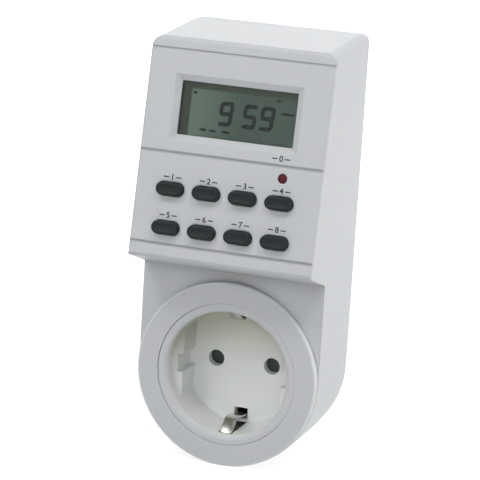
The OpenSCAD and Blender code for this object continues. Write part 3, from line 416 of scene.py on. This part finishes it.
def bent_strip(way, width, thick, bend, ends=0.0):
    """A strip folded along the (y, z) points of its middle line, with rounded folds and rims."""
    bm = bmesh.new()
    line = [bm.verts.new((-width / 2, y, z)) for y, z in way]
    edges = [bm.edges.new(pair) for pair in zip(line, line[1:])]
    grown = bmesh.ops.extrude_edge_only(bm, edges=edges)["geom"]
    bmesh.ops.translate(bm, vec=(width, 0, 0), verts=verts_of(grown))
    bmesh.ops.bevel(bm, geom=[e for e in bm.edges if len(e.link_faces) == 2], offset=bend,
                    offset_type="OFFSET", segments=5, profile=0.5, affect="EDGES", material=-1,
                    clamp_overlap=True)
    if ends:
        corners = [v for v in bm.verts if len(v.link_edges) == 2]
        bmesh.ops.bevel(bm, geom=corners, offset=ends, offset_type="OFFSET", segments=4,
                        profile=0.5, affect="VERTICES", material=-1)
    bmesh.ops.recalc_face_normals(bm, faces=bm.faces)
    bm.normal_update()
    for v in bm.verts:
        v.co += v.normal * thick / 2
    bmesh.ops.solidify(bm, geom=bm.faces[:], thickness=thick)
    bm.normal_update()
    rims = [e for e in bm.edges if e.calc_face_angle(0) > 1.2]
    bmesh.ops.bevel(bm, geom=rims, offset=0.12 * thick, offset_type="OFFSET", segments=2,
                    profile=0.5, affect="EDGES", material=-1, clamp_overlap=True)
    return bm


def whole(half):
    """A strap's upper half and its mirror image below."""
    return half + [(y, -z) for y, z in reversed(half)]


strip_t, clip_w, leg_w = 0.6, 4, 6
# From the mouth over the crest of a clip and down to the floor, then across behind it
clips = bent_strip(whole([(-29.4, 20.2), (-24.4, 16.4), (-22.4, 16.4), (-16.5, 17.3),
                          (-2.9, 17.3)]), clip_w, strip_t, 1.1, ends=0.9)
piece(clips, "socket_earth_clips", nickel_plate, instead="socket_earth_strap")
# From outside the barrel in through its wall, then across behind the floor
legs = bent_strip(whole([(1.6, 17.7), (9, 18.1), (13.2, 17.7), (13.2, 15.6), (-2.3, 15.6)]),
                  leg_w, strip_t, 0.8, ends=0.7)
piece(legs, "plug_earth_strips", nickel_plate, instead="plug_earth_strap")
rivet_half = [(0, -3.8), (1.0, -3.77), (1.6, -3.6), (1.95, -3.35), (2, -3.2), (1.2, -3.2),
              (1.2, -2), (1.8, -2), (1.72, -1.65), (1.35, -1.45), (0.8, -1.4), (0, -1.4)]
piece(turned(rivet_half, 32), "strap_rivet", nickel_plate,
      instead="earth_rivet", at=ALONG_Y)


# ---- Plug pins ----
# Two solid brass pins of 4.8 mm, nickel-plated, with rounded tips. Each has a collar inside
# the barrel's front wall, clamped there by the retainer, and a tail for its lead.

pin_x = 9.5
pin_half = [(0, 8.3), (1.4, 8.3), (1.6, 8.5), (1.6, 11.9), (3.3, 11.9), (3.4, 12.0), (3.4, 13.8),
            (3.3, 13.9), (2.7, 13.9), (2.7, 17), (2.4, 17.05), (2.4, 34.6), (2.33, 35.05),
            (2.13, 35.45), (1.8, 35.77), (1.35, 35.95), (0.8, 36), (0, 36)]
for name, x in (("live_pin", -pin_x), ("neutral_pin", pin_x)):
    piece(turned(pin_half), name + "_turned", nickel_plate, instead=name,
          at=to(x, 0, 0, ALONG_Y))


# ---- Pin retainer and screws ----
# A moulded plate of dark resin that clamps the two pins' collars in the barrel. Two small
# pan-headed screws of zinc-plated steel hold it from inside.

resin_grey = plastic("resin_grey", (0.10, 0.10, 0.11), roughness=0.5, drift=0.15, grain=0.3)
dress("pin_retainer", resin_grey)
zinc_steel = metal("zinc_steel", (0.66, 0.67, 0.66), (0.4, 0.36, 0.26), tarnished=0.35,
                   roughness=0.24)


def copies(bm, places):
    """The shape of bm at each of the places, as one."""
    made = [moved(bm.copy(), place) for place in places]
    bm.free()
    return joined(*made)


def cross_screw(shank, head, length, pitch=0.9):
    """A pan-headed screw seated at z = 0: head with its cross recess above, thread below."""
    neck, point, rise, ridge_steps = 0.7, 1.8, 1.8, 20
    core, arm, reach = shank / 2 - 0.22, head * 0.065, head * 0.26
    bm = turned([(0, -length), (core * 0.35, 0.5 - length), (core, point - length), (core, -neck),
                 (shank / 2, -0.45), (shank / 2, 0), (head / 2 - 0.1, 0), (head / 2, 0.1),
                 (head / 2, rise * 0.45), (head * 0.475, rise * 0.68), (head * 0.42, rise * 0.86),
                 (head * 0.35, rise * 0.96), (head * 0.3, rise)], 32)
    rim = [e for e in bm.edges if e.is_boundary]
    corners = [(arm, reach), (arm, arm), (reach, arm)]
    cross = [bm.verts.new((*(Matrix.Rotation(-math.pi / 2 * turn, 2) @ Vector(c)), rise))
             for turn in range(4) for c in corners]
    ring = [bm.edges.new((cross[i - 1], cross[i])) for i in range(12)]
    bmesh.ops.bridge_loops(bm, edges=rim + ring)
    lid = bmesh.ops.contextual_create(bm, geom=ring)["faces"]
    sunk = verts_of(bmesh.ops.extrude_face_region(bm, geom=lid)["geom"])
    bmesh.ops.translate(bm, vec=(0, 0, -rise * 0.6), verts=sunk)
    bmesh.ops.scale(bm, vec=(0.72, 0.72, 1), verts=sunk)
    bmesh.ops.delete(bm, geom=[f for f in lid if f.is_valid], context="FACES_ONLY")
    bmesh.ops.recalc_face_normals(bm, faces=bm.faces)

    turns = int((length - neck - point - 0.1) / pitch)
    start = -neck - turns * pitch - pitch / 2
    ridge = bmesh.new()
    points = [ridge.verts.new((r, 0, start + z)) for r, z in (
        (core - 0.05, 0), (shank / 2, pitch * 0.3), (core - 0.05, pitch * 0.6))]
    section = [ridge.edges.new((points[i - 1], points[i])) for i in range(3)]
    bmesh.ops.spin(ridge, geom=points + section, axis=(0, 0, 1), cent=(0, 0, 0),
                   dvec=(0, 0, pitch / ridge_steps), steps=ridge_steps * turns,
                   angle=math.tau * turns)
    return joined(bm, closed(ridge))


AGAINST_Y = Matrix.Rotation(math.radians(90), 4, "X")    # the turning axis laid to the front
piece(copies(cross_screw(1.8, 3.6, 5.4), [to(0, 9.6, z, AGAINST_Y) for z in (-9.5, 9.5)]),
      "retainer_cross_screws", zinc_steel, instead="retainer_screws")


# ---- Housing screws ----
# Four self-tapping screws of zinc-plated steel, sunk in the rear cover. They cut their own
# thread in the front housing's posts and hold the two shells together.

seat_y = -3.2
posts = [(side * x, z) for side in (-1, 1) for x, z in ((25.8, 103.4), (17.748, -17.748))]
piece(copies(cross_screw(2.5, 5, 14, pitch=1.1), [to(x, seat_y, z, ALONG_Y) for x, z in posts]),
      "housing_cross_screws", zinc_steel, instead="housing_screws")


# ---- Power board and its parts ----
# Single-sided brown laminate on four posts of the rear cover, its copper on the rear face. It
# carries the relay, the dropper capacitor and resistor, the varistor, the rectifier and the
# smoothing capacitor, all soldered in from the front.

def track_group():
    """Copper runs with round pads, seen through the lacquer of a board."""
    g, given, out = shader_group(
        "board_tracks",
        (("Place", "Vector", (0, 0, 0)), ("Board", "Color", (0.1, 0.1, 0.1, 1)),
         ("Track", "Color", (0.4, 0.3, 0.1, 1)), ("Scale", "Float", 300)),
        (("Colour", "Color"),))
    laid = {"Vector": given["Place"], "Scale": given["Scale"]}
    runs = shader_node(g, "TexBrick", {**laid, "Mortar Size": 0.05, "Mortar Smooth": 0})
    pads = shader_node(g, "TexVoronoi", laid)
    copper = sums(g, "MAXIMUM", runs.outputs["Fac"],
                  sums(g, "LESS_THAN", pads.outputs["Distance"], 0.22))
    fill(g, out, {"Colour": blend(g, copper, given["Board"], given["Track"])})
    return g


board_tracks = track_group()


def tracked(material, place, board, track, scale):
    """Draws copper runs over a board's plastic, in the plane of x and y of place."""
    tree, skin = part_of(material)
    drawn = shader_node(tree, "Group", {"Place": place, "Board": board, "Track": track,
                                        "Scale": scale}, node_tree=board_tracks)
    fill(tree, skin, {"Colour": drawn.outputs["Colour"]})


def banded(material, bands):
    """Colours rings of a part that lies along x: (centre, half width, colour) in mm."""
    tree, skin = part_of(material)
    along = axes(tree, on_object(tree))["X"]
    face = tuple(skin.inputs["Colour"].default_value)[:3]
    for centre, half, colour in bands:
        face = blend(tree, sums(tree, "COMPARE", along, centre * MM, half * MM), face, colour)
    fill(tree, skin, {"Colour": face})


def rounded_box(low, high, r, steps=3):
    """A box between two corners with rounded edges."""
    bm = bmesh.new()
    bmesh.ops.create_cube(bm, size=1)
    bmesh.ops.translate(bm, vec=(0.5, 0.5, 0.5), verts=bm.verts)
    bmesh.ops.scale(bm, vec=[b - a for a, b in zip(low, high)], verts=bm.verts)
    bmesh.ops.translate(bm, vec=low, verts=bm.verts)
    bmesh.ops.bevel(bm, geom=bm.edges[:], offset=r, offset_type="OFFSET", segments=steps,
                    profile=0.5, affect="EDGES", material=-1, clamp_overlap=True)
    return bm


def wire(way, r, bend=0.6):
    """Round wire along the points of way, bent round its corners."""
    line = [Vector(point) for point in way]
    points = [line[0]]
    for a, b, c in zip(line, line[1:], line[2:]):
        before, after = (a - b).normalized() * bend, (c - b).normalized() * bend
        points += [b + before * (1 - t) ** 2 + after * t ** 2 for t in (0, 0.25, 0.5, 0.75, 1)]
    points.append(line[-1])
    bm = bmesh.new()
    rings = []
    for i, point in enumerate(points):
        along = points[min(i + 1, len(points) - 1)] - points[max(i - 1, 0)]
        ring = bmesh.ops.create_circle(bm, segments=12, radius=r)["verts"]
        bmesh.ops.transform(bm, verts=ring, matrix=Matrix.Translation(point)
                            @ along.to_track_quat("Z", "Y").to_matrix().to_4x4())
        rings.append(list({e for v in ring for e in v.link_edges}))
    for low, high in zip(rings, rings[1:]):
        bmesh.ops.bridge_loops(bm, edges=low + high)
    return closed(bm)


board_y, leg_r = -9.6, 0.35
laminate = (0.36, 0.22, 0.09)
laminate_brown = plastic("laminate_brown", laminate, roughness=0.45, drift=0.2, grain=0.5)
tree = laminate_brown.node_tree
upright = shader_node(tree, "Mapping", {
    "Vector": on_object(tree), "Rotation": (math.radians(90), 0, 0)}, vector_type="TEXTURE")
tracked(laminate_brown, upright.outputs["Vector"], laminate, (0.45, 0.27, 0.10), 110)
dress("power_board", laminate_brown)
posts = [to(x, board_y, z, AGAINST_Y) for x in (-21.2, 21.2) for z in (42, 91)]
piece(copies(cross_screw(2.2, 3.6, 6.6), posts), "power_board_cross_screws", zinc_steel,
      instead="power_board_screws")

relay_blue = plastic("relay_blue", (0.03, 0.10, 0.32), roughness=0.3, drift=0.05, edge=0.3)
relay_case = rounded_box((-22.7, -25.3, 46.1), (-10, -10.9, 75.1), 0.7)
relay_base = rounded_box((-22.45, -11.2, 46.35), (-10.25, board_y, 74.85), 0.2)
piece(joined(relay_case, relay_base), "relay_case", relay_blue, instead="relay")

film_yellow = plastic("film_yellow", (0.62, 0.42, 0.05), roughness=0.3, drift=0.08, edge=0.3)
film_case = rounded_box((-1.4, -23.6, 42), (16.6, -10.1, 50), 0.8, steps=4)
film_feet = [rounded_box((x, -10.4, z), (x + 1.8, board_y, z + 1.6), 0.2)
             for x in (-1.1, 14.5) for z in (42.3, 48.1)]
piece(joined(film_case, *film_feet), "film_capacitor_case", film_yellow,
      instead="film_capacitor")

sleeve_black = plastic("sleeve_black", (0.02, 0.022, 0.05), roughness=0.3, drift=0.1)
banded(sleeve_black, [(-17.6, 0.9, (0.45, 0.47, 0.5))])
sleeve = turned([(0, 0), (3.5, 0), (3.85, 0.12), (4, 0.5), (4, 1.4), (3.72, 1.75), (3.72, 1.95),
                 (4, 2.3), (4, 10.7), (3.9, 11.2), (3.6, 11.45), (3.2, 11.5), (2.9, 11.42),
                 (2.85, 11.25), (0, 11.25)])
can_place = to(-14, board_y, 84.1, AGAINST_Y)
piece(sleeve, "smoothing_capacitor_sleeve", sleeve_black,
      instead="smoothing_capacitor", at=can_place)
tin = metal("tin", (0.72, 0.72, 0.71), (0.42, 0.41, 0.4), roughness=0.3)
can_end = turned([(0, 11.2), (2.84, 11.2), (2.84, 11.3), (2.7, 11.34), (0, 11.34)])
vents = [rounded_box((-x, -y, 11.3), (x, y, 11.38), 0.03, steps=1)
         for x, y in ((2.6, 0.12), (0.12, 2.6))]
piece(joined(can_end, *vents), "smoothing_capacitor_end", tin, at=can_place)

varistor_blue = plastic("varistor_blue", (0.06, 0.17, 0.42), roughness=0.35, drift=0.12)
varistor_x, varistor_z = 17.2, 60
disc = turned([(0, -2), (3.3, -2), (3.9, -1.8), (4.3, -1.3), (4.5, -0.5), (4.5, 0.5), (4.3, 1.3),
               (3.9, 1.8), (3.3, 2), (0, 2)])
moved(disc, to(varistor_x, -15.6, varistor_z, LYING_X))
peg = turned([(0, 0), (1.1, 0), (0.75, 0.9), (0.4, 1.4), (0.4, 3), (0, 3)], 20)
pegs = copies(peg, [to(varistor_x, -12.6, varistor_z + side * 2.52, ALONG_Y) for side in (-1, 1)])
piece(joined(disc, pegs), "varistor_disc", varistor_blue,
      instead="surge_varistor")

resistor_grey = plastic("resistor_grey", (0.24, 0.25, 0.2), roughness=0.6, drift=0.12)
banded(resistor_grey, [(9.9, 0.35, (0.35, 0.20, 0.03)), (11.5, 0.3, (0.02, 0.02, 0.02)),
                       (13.0, 0.3, (0.16, 0.06, 0.02)), (16.3, 0.3, (0.5, 0.33, 0.1))])
body = turned([(0, -4.5), (1.2, -4.5), (1.6, -4.35), (1.9, -3.9), (1.9, -3), (1.72, -2.5),
               (1.72, 2.5), (1.9, 3), (1.9, 3.9), (1.6, 4.35), (1.2, 4.5), (0, 4.5)], 32)
resistor_place = (13.2, -12.2, 87)
piece(body, "dropper_resistor_body", resistor_grey, instead="dropper_resistor",
      at=to(*resistor_place, LYING_X))


def bent_legs(x, y, z, start, bend):
    """The two legs of a body that lies along x, bent down to the board."""
    return [wire([(x + side * start, y, z), (x + side * bend, y, z),
                  (x + side * bend, board_y, z)], leg_r) for side in (-1, 1)]


piece(joined(*bent_legs(*resistor_place, 4.3, 6.5)), "dropper_resistor_legs", tin)

diode_black = plastic("diode_black", (0.02, 0.02, 0.022), roughness=0.35, drift=0.1)
banded(diode_black, [(6.5, 0.28, (0.5, 0.5, 0.5))])
diode_pitch = 3.6
diode_places = [(5, -11.4, 56 + diode_pitch * i) for i in range(4)]
diode = turned([(0, -2.2), (0.8, -2.2), (1.1, -1.95), (1.1, 1.95), (0.8, 2.2), (0, 2.2)], 28)
piece(copies(diode, [to(*place, LYING_X) for place in diode_places]), "diode_bodies",
      diode_black, instead="rectifier_diodes")
legs = [leg for place in diode_places for leg in bent_legs(*place, 2.1, 4)]
piece(joined(*legs), "diode_legs", tin)


# ---- Flat cable and leads ----
# A grey flat cable joins the two boards. Three PVC leads join the pins, the contacts and the
# power board: brown for live, black for the switched live, blue for neutral.

dress("ribbon_cable", plastic("cable_grey", (0.42, 0.42, 0.44), roughness=0.45, drift=0.06))
for name, colour in (("live_lead", (0.16, 0.07, 0.03)), ("switched_lead", (0.015, 0.015, 0.017)),
                     ("neutral_lead", (0.03, 0.09, 0.35))):
    dress(name, plastic(name + "_pvc", colour, drift=0.1, grain=0.3))


# ---- Control board and its parts ----
# Green board on four posts behind the panel, with the chip, the crystal and the back-up cell
# behind, and the push switches and the display's holder in front.

PANEL = to(0, -46.2, 38.1, Matrix.Rotation(math.radians(80), 4, "X"))    # x right, y up, z out


def in_panel(tree):
    """The point in the panel's own frame."""
    return shader_node(tree, "Mapping", {
        "Vector": on_object(tree), "Location": PANEL.to_translation() * MM,
        "Rotation": PANEL.to_euler()}, vector_type="TEXTURE").outputs["Vector"]


lacquer = (0.02, 0.11, 0.045)
board_green = plastic("board_green", lacquer, roughness=0.3, drift=0.2, grain=0.6, specular=0.6)
tracked(board_green, in_panel(board_green.node_tree), lacquer, (0.05, 0.2, 0.07), 190)
dress("control_board", board_green)
board_back = -10.3

chip_black = plastic("chip_black", (0.025, 0.025, 0.028), roughness=0.5, drift=0.12)
chip_w, chip_v = 13, 17.5
chip = rounded_box((-chip_w, chip_v, -11.7), (0, chip_v + chip_w, board_back - 0.12), 0.12,
                   steps=2)
piece(chip, "chip_body", chip_black, instead="control_chip", at=PANEL)
chip_leg = bent_strip([(-0.1, -0.75), (0.3, -0.75), (0.45, -0.08), (0.9, -0.08)], 0.5, 0.15, 0.08)
leg_pitch = 1.15
rows = [to(x, chip_v + 1.25 + leg_pitch * i, board_back,
           Matrix.Rotation(math.radians(turn), 4, "Z"))
        for x, turn in ((0, -90), (-chip_w, 90)) for i in range(10)]
piece(copies(chip_leg, rows), "chip_legs", tin, at=PANEL)


def stadium(bm, wide, high, z):
    """One round-ended ring at height z."""
    steps = 40
    ring = bmesh.ops.create_circle(bm, segments=steps, radius=high / 2)["verts"]
    bmesh.ops.rotate(bm, cent=(0, 0, 0), matrix=Matrix.Rotation(math.pi / steps, 3, "Z"),
                     verts=ring)
    for v in ring:
        v.co.x += math.copysign((wide - high) / 2, v.co.x)
        v.co.z = z
    return list({e for v in ring for e in v.link_edges})


def stacked(wide, high, levels):
    """A round-ended body through rings of (growth, height)."""
    bm = bmesh.new()
    rings = [stadium(bm, wide + 2 * grow, high + 2 * grow, z) for grow, z in levels]
    for low, top in zip(rings, rings[1:]):
        bmesh.ops.bridge_loops(bm, edges=low + top)
    return closed(bm)


can_steel = metal("can_steel", (0.7, 0.7, 0.7), (0.45, 0.44, 0.42), tarnished=0.2, roughness=0.22)
can = stacked(10.4, 4.2, [(-0.9, -13.7), (-0.45, -13.66), (-0.15, -13.5), (0, -13.2), (0, -10.85),
                          (0.25, -10.8), (0.3, -10.7), (0.3, -10.38), (0.24, board_back)])
piece(can, "crystal_can", can_steel, instead="quartz_crystal",
      at=PANEL @ to(10.1, 13.9, 0))
cell = turned([(0, -11.3), (7.2, -11.3), (7.65, -11.45), (7.8, -11.8), (7.8, -16.1), (7.7, -16.45),
               (7.4, -16.65), (7, -16.7), (6.1, -16.7), (6, -16.6), (5.75, -16.6), (5.6, -16.7),
               (5.5, -16.85), (5.2, -17), (0, -17)])
tabs = [rounded_box((-2, v - 1, -11.32), (2, v + 1, board_back), 0.12) for v in (-5.5, 5.5)]
piece(joined(cell, *tabs), "back_up_cell", can_steel, instead="backup_battery",
      at=PANEL @ to(12.2, 38, 0))
UNDER = Matrix.Rotation(math.radians(180), 4, "X")       # the turning axis laid into the panel
posts = [to(x, v, board_back, UNDER) for x in (-25.5, 25.5) for v in (15.75, 61.2)]
piece(copies(cross_screw(1.8, 3.4, 5), posts), "board_cross_screws", zinc_steel,
      instead="board_screws", at=PANEL)

key_names = ("week", "hour", "minute", "recall", "clock", "timer", "mode", "random")
switch_black = plastic("switch_black", (0.03, 0.03, 0.033), roughness=0.45, drift=0.1)
dress("push_switches", switch_black)
for name in (*key_names, "clear"):
    dress(name + "_plunger", switch_black)


# ---- Display ----
# A twisted-nematic cell behind a clear window: a grey-green reflector with dark figures. The
# cell lies in a holder on the board, on two conductive rubber strips.

dress("display_holder", resin_grey)
dress("connector_strips", plastic("strip_rubber", (0.03, 0.03, 0.032), roughness=0.6, drift=0.2))

clear_acrylic = plastic("clear_acrylic", (0.97, 0.99, 0.98), roughness=0.03, drift=0.01,
                        grain=0.4, depth=0.0002, edge=0.1, wear_and_highlight=0)
shader = clear_acrylic.node_tree.nodes["Principled BSDF"]
shader.inputs["IOR"].default_value = 1.3       # acrylic with its anti-glare lacquer
shader.inputs["Transmission Weight"].default_value = 1
dress("display_window", clear_acrylic)

cell_green = plastic("cell_green", (0.09, 0.12, 0.095), roughness=0.45, drift=0.05, grain=0.1,
                     depth=0.001, edge=0.05, wear_and_highlight=0, specular=0.15)
tree, skin = part_of(cell_green)
point = axes(tree, in_panel(tree))
# A painted reflection makes it brighter to the left and dimmer to the right, with a dark margin on
# the left and a painted shadow of the window's edge along the top
face = blend(tree, split(tree, point["X"], -16 * MM, 2 * MM), (0.084, 0.125, 0.098),
             (0.036, 0.060, 0.046))
face = blend(tree, split(tree, point["X"], -16.3 * MM, -15.9 * MM), (0.020, 0.026, 0.015), face)
face = blend(tree, split(tree, point["Y"], 53.2 * MM, 54.0 * MM), face, (0.024, 0.036, 0.024))
fill(tree, skin, {"Colour": face})
dress("display_glass", cell_green)


def segment(length, width, thick):
    """One bar of a figure, pointed at both ends."""
    bm = bmesh.new()
    half, side = length / 2, width / 2
    corners = [(-half, 0), (side - half, side), (half - side, side), (half, 0),
               (half - side, -side), (side - half, -side)]
    face = bm.faces.new([bm.verts.new((x, y, 0)) for x, y in corners])
    grown = bmesh.ops.extrude_face_region(bm, geom=[face])["geom"]
    bmesh.ops.translate(bm, vec=(0, 0, thick), verts=verts_of(grown))
    bmesh.ops.recalc_face_normals(bm, faces=bm.faces)
    return bm


figure_v, figure_w, figure_h, bar_w, lean = 46.8, 4.7, 7.6, 1.25, 0.09
ink_z, ink_t = -3.38, 0.06
bar_places = {"a": (0, 1, 0), "g": (0, 0, 0), "d": (0, -1, 0), "f": (-1, 0.5, 1),
              "b": (1, 0.5, 1), "e": (-1, -0.5, 1), "c": (1, -0.5, 1)}
nine, five = "abcdfg", "acdfg"
slant = Matrix(((1, lean, 0, 0), (0, 1, 0, 0), (0, 0, 1, 0), (0, 0, 0, 1)))
across, standing = [], []
for centre, bars in ((-4.25, nine), (3.55, five), (9.2, nine)):
    for bar in bars:
        u, v, stands = bar_places[bar]
        place = to(centre, figure_v, 0, slant) @ to(
            u * (figure_w - bar_w) / 2, v * (figure_h - bar_w) / 2, ink_z,
            Matrix.Rotation(math.pi / 2 * stands, 4, "Z"))
        (standing if stands else across).append(place)
lcd_ink = plastic("lcd_ink", (0.002, 0.008, 0.006), roughness=0.6, drift=0.1, edge=0.02, wear_and_highlight=0,
                  specular=0.05)
wide = copies(segment(figure_w - 0.5, bar_w, ink_t), across)
tall = copies(segment((figure_h - bar_w) / 2 + 0.38, bar_w, ink_t), standing)
# The day bars under the figures, the programme bar on the right and two small marks on top
small = [(-11.2, 41.2, 2.6), (-8.0, 41.1, 2.4), (-3.7, 41.2, 2.8), (15.6, 48.9, 4.4),
         (12.4, 52.7, 1.9), (-15.0, 52.4, 1.6)]
lines = [moved(segment(length, 0.8, ink_t), to(x, v, ink_z)) for x, v, length in small]
piece(joined(wide, tall, *lines), "display_figures", lcd_ink, at=PANEL)


# ---- Keys ----
# Eight dark grey keys with round ends and lightly dished tops, moulded in soft-touch plastic. Each
# is caught by its collar behind the panel and rests on a push switch.

key_grey = plastic("key_grey", (0.014, 0.020, 0.022), roughness=0.45, drift=0.25, grain=0.3,
                   depth=0.012, edge=0.2, wear_and_highlight=0.06, specular=0.18)
key_x, key_v, key_w, key_h, key_pitch, row_pitch = -0.5, 9.7, 8.8, 4.3, 11.9, 12.1


def key_shape():
    """From the collar's underside up to the dished top, with the stem that meets the switch."""
    cap = stacked(key_w, key_h, [
        (0.8, -3.1), (0.8, -2.3), (0, -2.3), (0, 1.55), (-0.07, 1.85), (-0.24, 2.04),
        (-0.5, 2.15), (-0.75, 2.19), (-0.95, 2.15), (-1.15, 2.02), (-1.5, 1.93), (-1.95, 1.9)])
    return joined(cap, turned([(0, -3.7), (1.6, -3.7), (1.7, -3.6), (1.7, -3.05), (0, -3.05)], 32))


for i, name in enumerate(key_names):
    place = to(key_x + (i % 4 - 1.5) * key_pitch, key_v + (row_pitch if i < 4 else 0), 0)
    piece(key_shape(), name + "_key_cap", key_grey, body=name + "_key",
          instead=name + "_key", at=PANEL @ place)


# ---- Clear key ----
# A small round key moulded in red, a shade below the panel's face, so that it is pressed only
# with the point of a pen.

red_plastic = plastic("red_plastic", (0.11, 0.006, 0.015), roughness=0.35, drift=0.08, grain=0.2,
                      depth=0.003, edge=0.1, wear_and_highlight=0.05, specular=0.2)
clear_half = [(0, -3.7), (1.2, -3.7), (1.2, -3.1), (2.2, -3.1), (2.2, -2.3), (1.4, -2.3),
              (1.4, -0.55), (1.34, -0.38), (1.15, -0.26), (0.7, -0.21), (0, -0.2)]
piece(turned(clear_half, 40), "clear_key_cap", red_plastic, body="clear_key",
      instead="clear_key", at=PANEL @ to(17.35, 29.4, 0))


# ---- Panel printing ----
# Plain numbers between two short lines, one over each key. They are pad-printed on the panel
# in a thin film of dark grey ink.

print_grey = plastic("print_grey", (0.05, 0.057, 0.064), roughness=0.6, drift=0.2, edge=0.02,
                     wear_and_highlight=0, specular=0.2)
print_t, line_w, line_h, line_x = 0.02, 1.7, 0.36, 2.05


def number_mark(text):
    """A printed number between two short lines, as a mesh about its own middle."""
    curve = bpy.data.curves.new("mark", "FONT")
    curve.body = text
    curve.size = 2.5
    curve.extrude = print_t / 2
    curve.offset = 0.055                        # the ink spreads a little
    curve.align_x = "CENTER"
    curve.align_y = "CENTER"
    drawn = bpy.data.objects.new("mark", curve)
    bpy.context.scene.collection.objects.link(drawn)
    bpy.context.view_layer.update()
    mesh = bpy.data.meshes.new_from_object(
        drawn.evaluated_get(bpy.context.evaluated_depsgraph_get()))
    bpy.data.objects.remove(drawn)
    bpy.data.curves.remove(curve)
    bm = bmesh.new()
    bm.from_mesh(mesh)
    bpy.data.meshes.remove(mesh)
    bmesh.ops.remove_doubles(bm, verts=bm.verts, dist=1e-4)
    bmesh.ops.recalc_face_normals(bm, faces=bm.faces)
    for side in (-1, 1):
        line = bmesh.ops.create_cube(bm, size=1)["verts"]
        bmesh.ops.scale(bm, vec=(line_w, line_h, print_t), verts=line)
        bmesh.ops.translate(bm, vec=(side * line_x, 0, 0), verts=line)
    return bm


mark_x, mark_v, mark_rows, lift = -0.3, 13.6, 11.9, 0.012
marks = [(mark_x + (i % 4 - 1.5) * key_pitch, mark_v + (mark_rows if i < 4 else 0), str(i + 1))
         for i in range(8)]
for x, v, text in marks + [(16.2, 35.3, "0")]:
    piece(number_mark(text), "print_" + text, print_grey, at=PANEL @ to(x, v, lift))


# ---- Camera and studio ----
# A pale floor under the switch and square soft boxes in front, above, beside and behind it. The
# world gives a weak light, and shows white to the camera and in metal and glass.

azimuth, elevation, roll = (math.radians(a) for a in (19.148, 12.978, 3.556))
aim, distance = Vector((-3.0651, -18.110, 40.598)) * MM, 777.837 * MM
back = Vector((math.sin(azimuth) * math.cos(elevation),
               -math.cos(azimuth) * math.cos(elevation), math.sin(elevation)))
side = Vector((0, 0, 1)).cross(back).normalized()
up = back.cross(side)
lens = bpy.data.cameras.new("camera")
lens.lens, lens.sensor_width, lens.clip_start = 183.14, 36, 0.01
camera = bpy.data.objects.new("camera", lens)
right = side * math.cos(roll) + up * math.sin(roll)
top = up * math.cos(roll) - side * math.sin(roll)
camera.matrix_world = Matrix.Translation(aim + back * distance) @ Matrix(
    (right, top, back)).transposed().to_4x4()
bpy.context.scene.collection.objects.link(camera)
bpy.context.scene.camera = camera

middle = Vector((0, -0.02, 0.04))
for name, place, size, power in (
        ("front_left_box", (-0.40, -0.95, 0.45), 0.35, 1.42),
        ("front_box", (0.33, -0.95, 0.27), 0.4, 1.36),
        ("high_left_box", (-0.35, -0.55, 0.85), 0.35, 2.5),
        ("high_right_box", (0.35, -0.45, 0.90), 0.35, 2.45),
        ("roof_box", (0.0, 0.45, 0.95), 0.5, 2.95),
        ("side_box", (0.95, 0.35, 0.25), 0.5, 4.6),
        ("rear_box", (-0.45, 0.95, 0.10), 0.5, 3.5)):
    light = bpy.data.lights.new(name, "AREA")
    light.shape, light.size, light.energy = "SQUARE", size, power
    box = bpy.data.objects.new(name, light)
    box.location = place
    box.rotation_euler = (middle - Vector(place)).to_track_quat("-Z", "Y").to_euler()
    bpy.context.scene.collection.objects.link(box)


def looked_at(tree):
    """1 for what the camera sees, straight or in metal or glass; 0 for the light it gives."""
    path = shader_node(tree, "LightPath", {}).outputs
    straight = sums(tree, "MAXIMUM", path["Is Camera Ray"], path["Is Glossy Ray"])
    return sums(tree, "MAXIMUM", straight, path["Is Transmission Ray"])


world = bpy.data.worlds.new("studio")
world.use_nodes = True
bpy.context.scene.world = world
tree = world.node_tree
lit = tree.nodes["Background"]
fill(tree, lit, {"Color": (0.95, 0.97, 1), "Strength": 0.04})
seen = shader_node(tree, "Background", {"Color": (1, 1, 1), "Strength": 1})
mix = shader_node(tree, "MixShader", {0: looked_at(tree), 1: lit.outputs[0], 2: seen.outputs[0]})
fill(tree, tree.nodes["World Output"], {0: mix.outputs[0]})

floor_z, floor_half = -0.0301, 3
floor_bm = bmesh.new()
bmesh.ops.create_grid(floor_bm, x_segments=1, y_segments=1, size=floor_half)
bmesh.ops.translate(floor_bm, vec=(0, 0, floor_z), verts=floor_bm.verts)
floor_mesh = bpy.data.meshes.new("floor")
floor_bm.to_mesh(floor_mesh)
floor_bm.free()
floor = bpy.data.objects.new("floor", floor_mesh)
floor_white, tree, shader = blank_material("floor_white")
# The glow is whole only away from the switch, so that its shadow stays
away = shader_node(tree, "VectorMath", {0: on_object(tree)}, operation="LENGTH")
far = sums(tree, "MULTIPLY_ADD", split(tree, away.outputs["Value"], 0.1, 0.5), 0.28, 0.72)
fill(tree, shader, {"Base Color": (0.7, 0.7, 0.7), "Roughness": 0.9, "Specular IOR Level": 0.1,
                    "Emission Color": (1, 1, 1),
                    "Emission Strength": sums(tree, "MULTIPLY", looked_at(tree), far)})
floor_mesh.materials.append(floor_white)
bpy.context.scene.collection.objects.link(floor)

bpy.context.scene.view_settings.view_transform = "Standard"
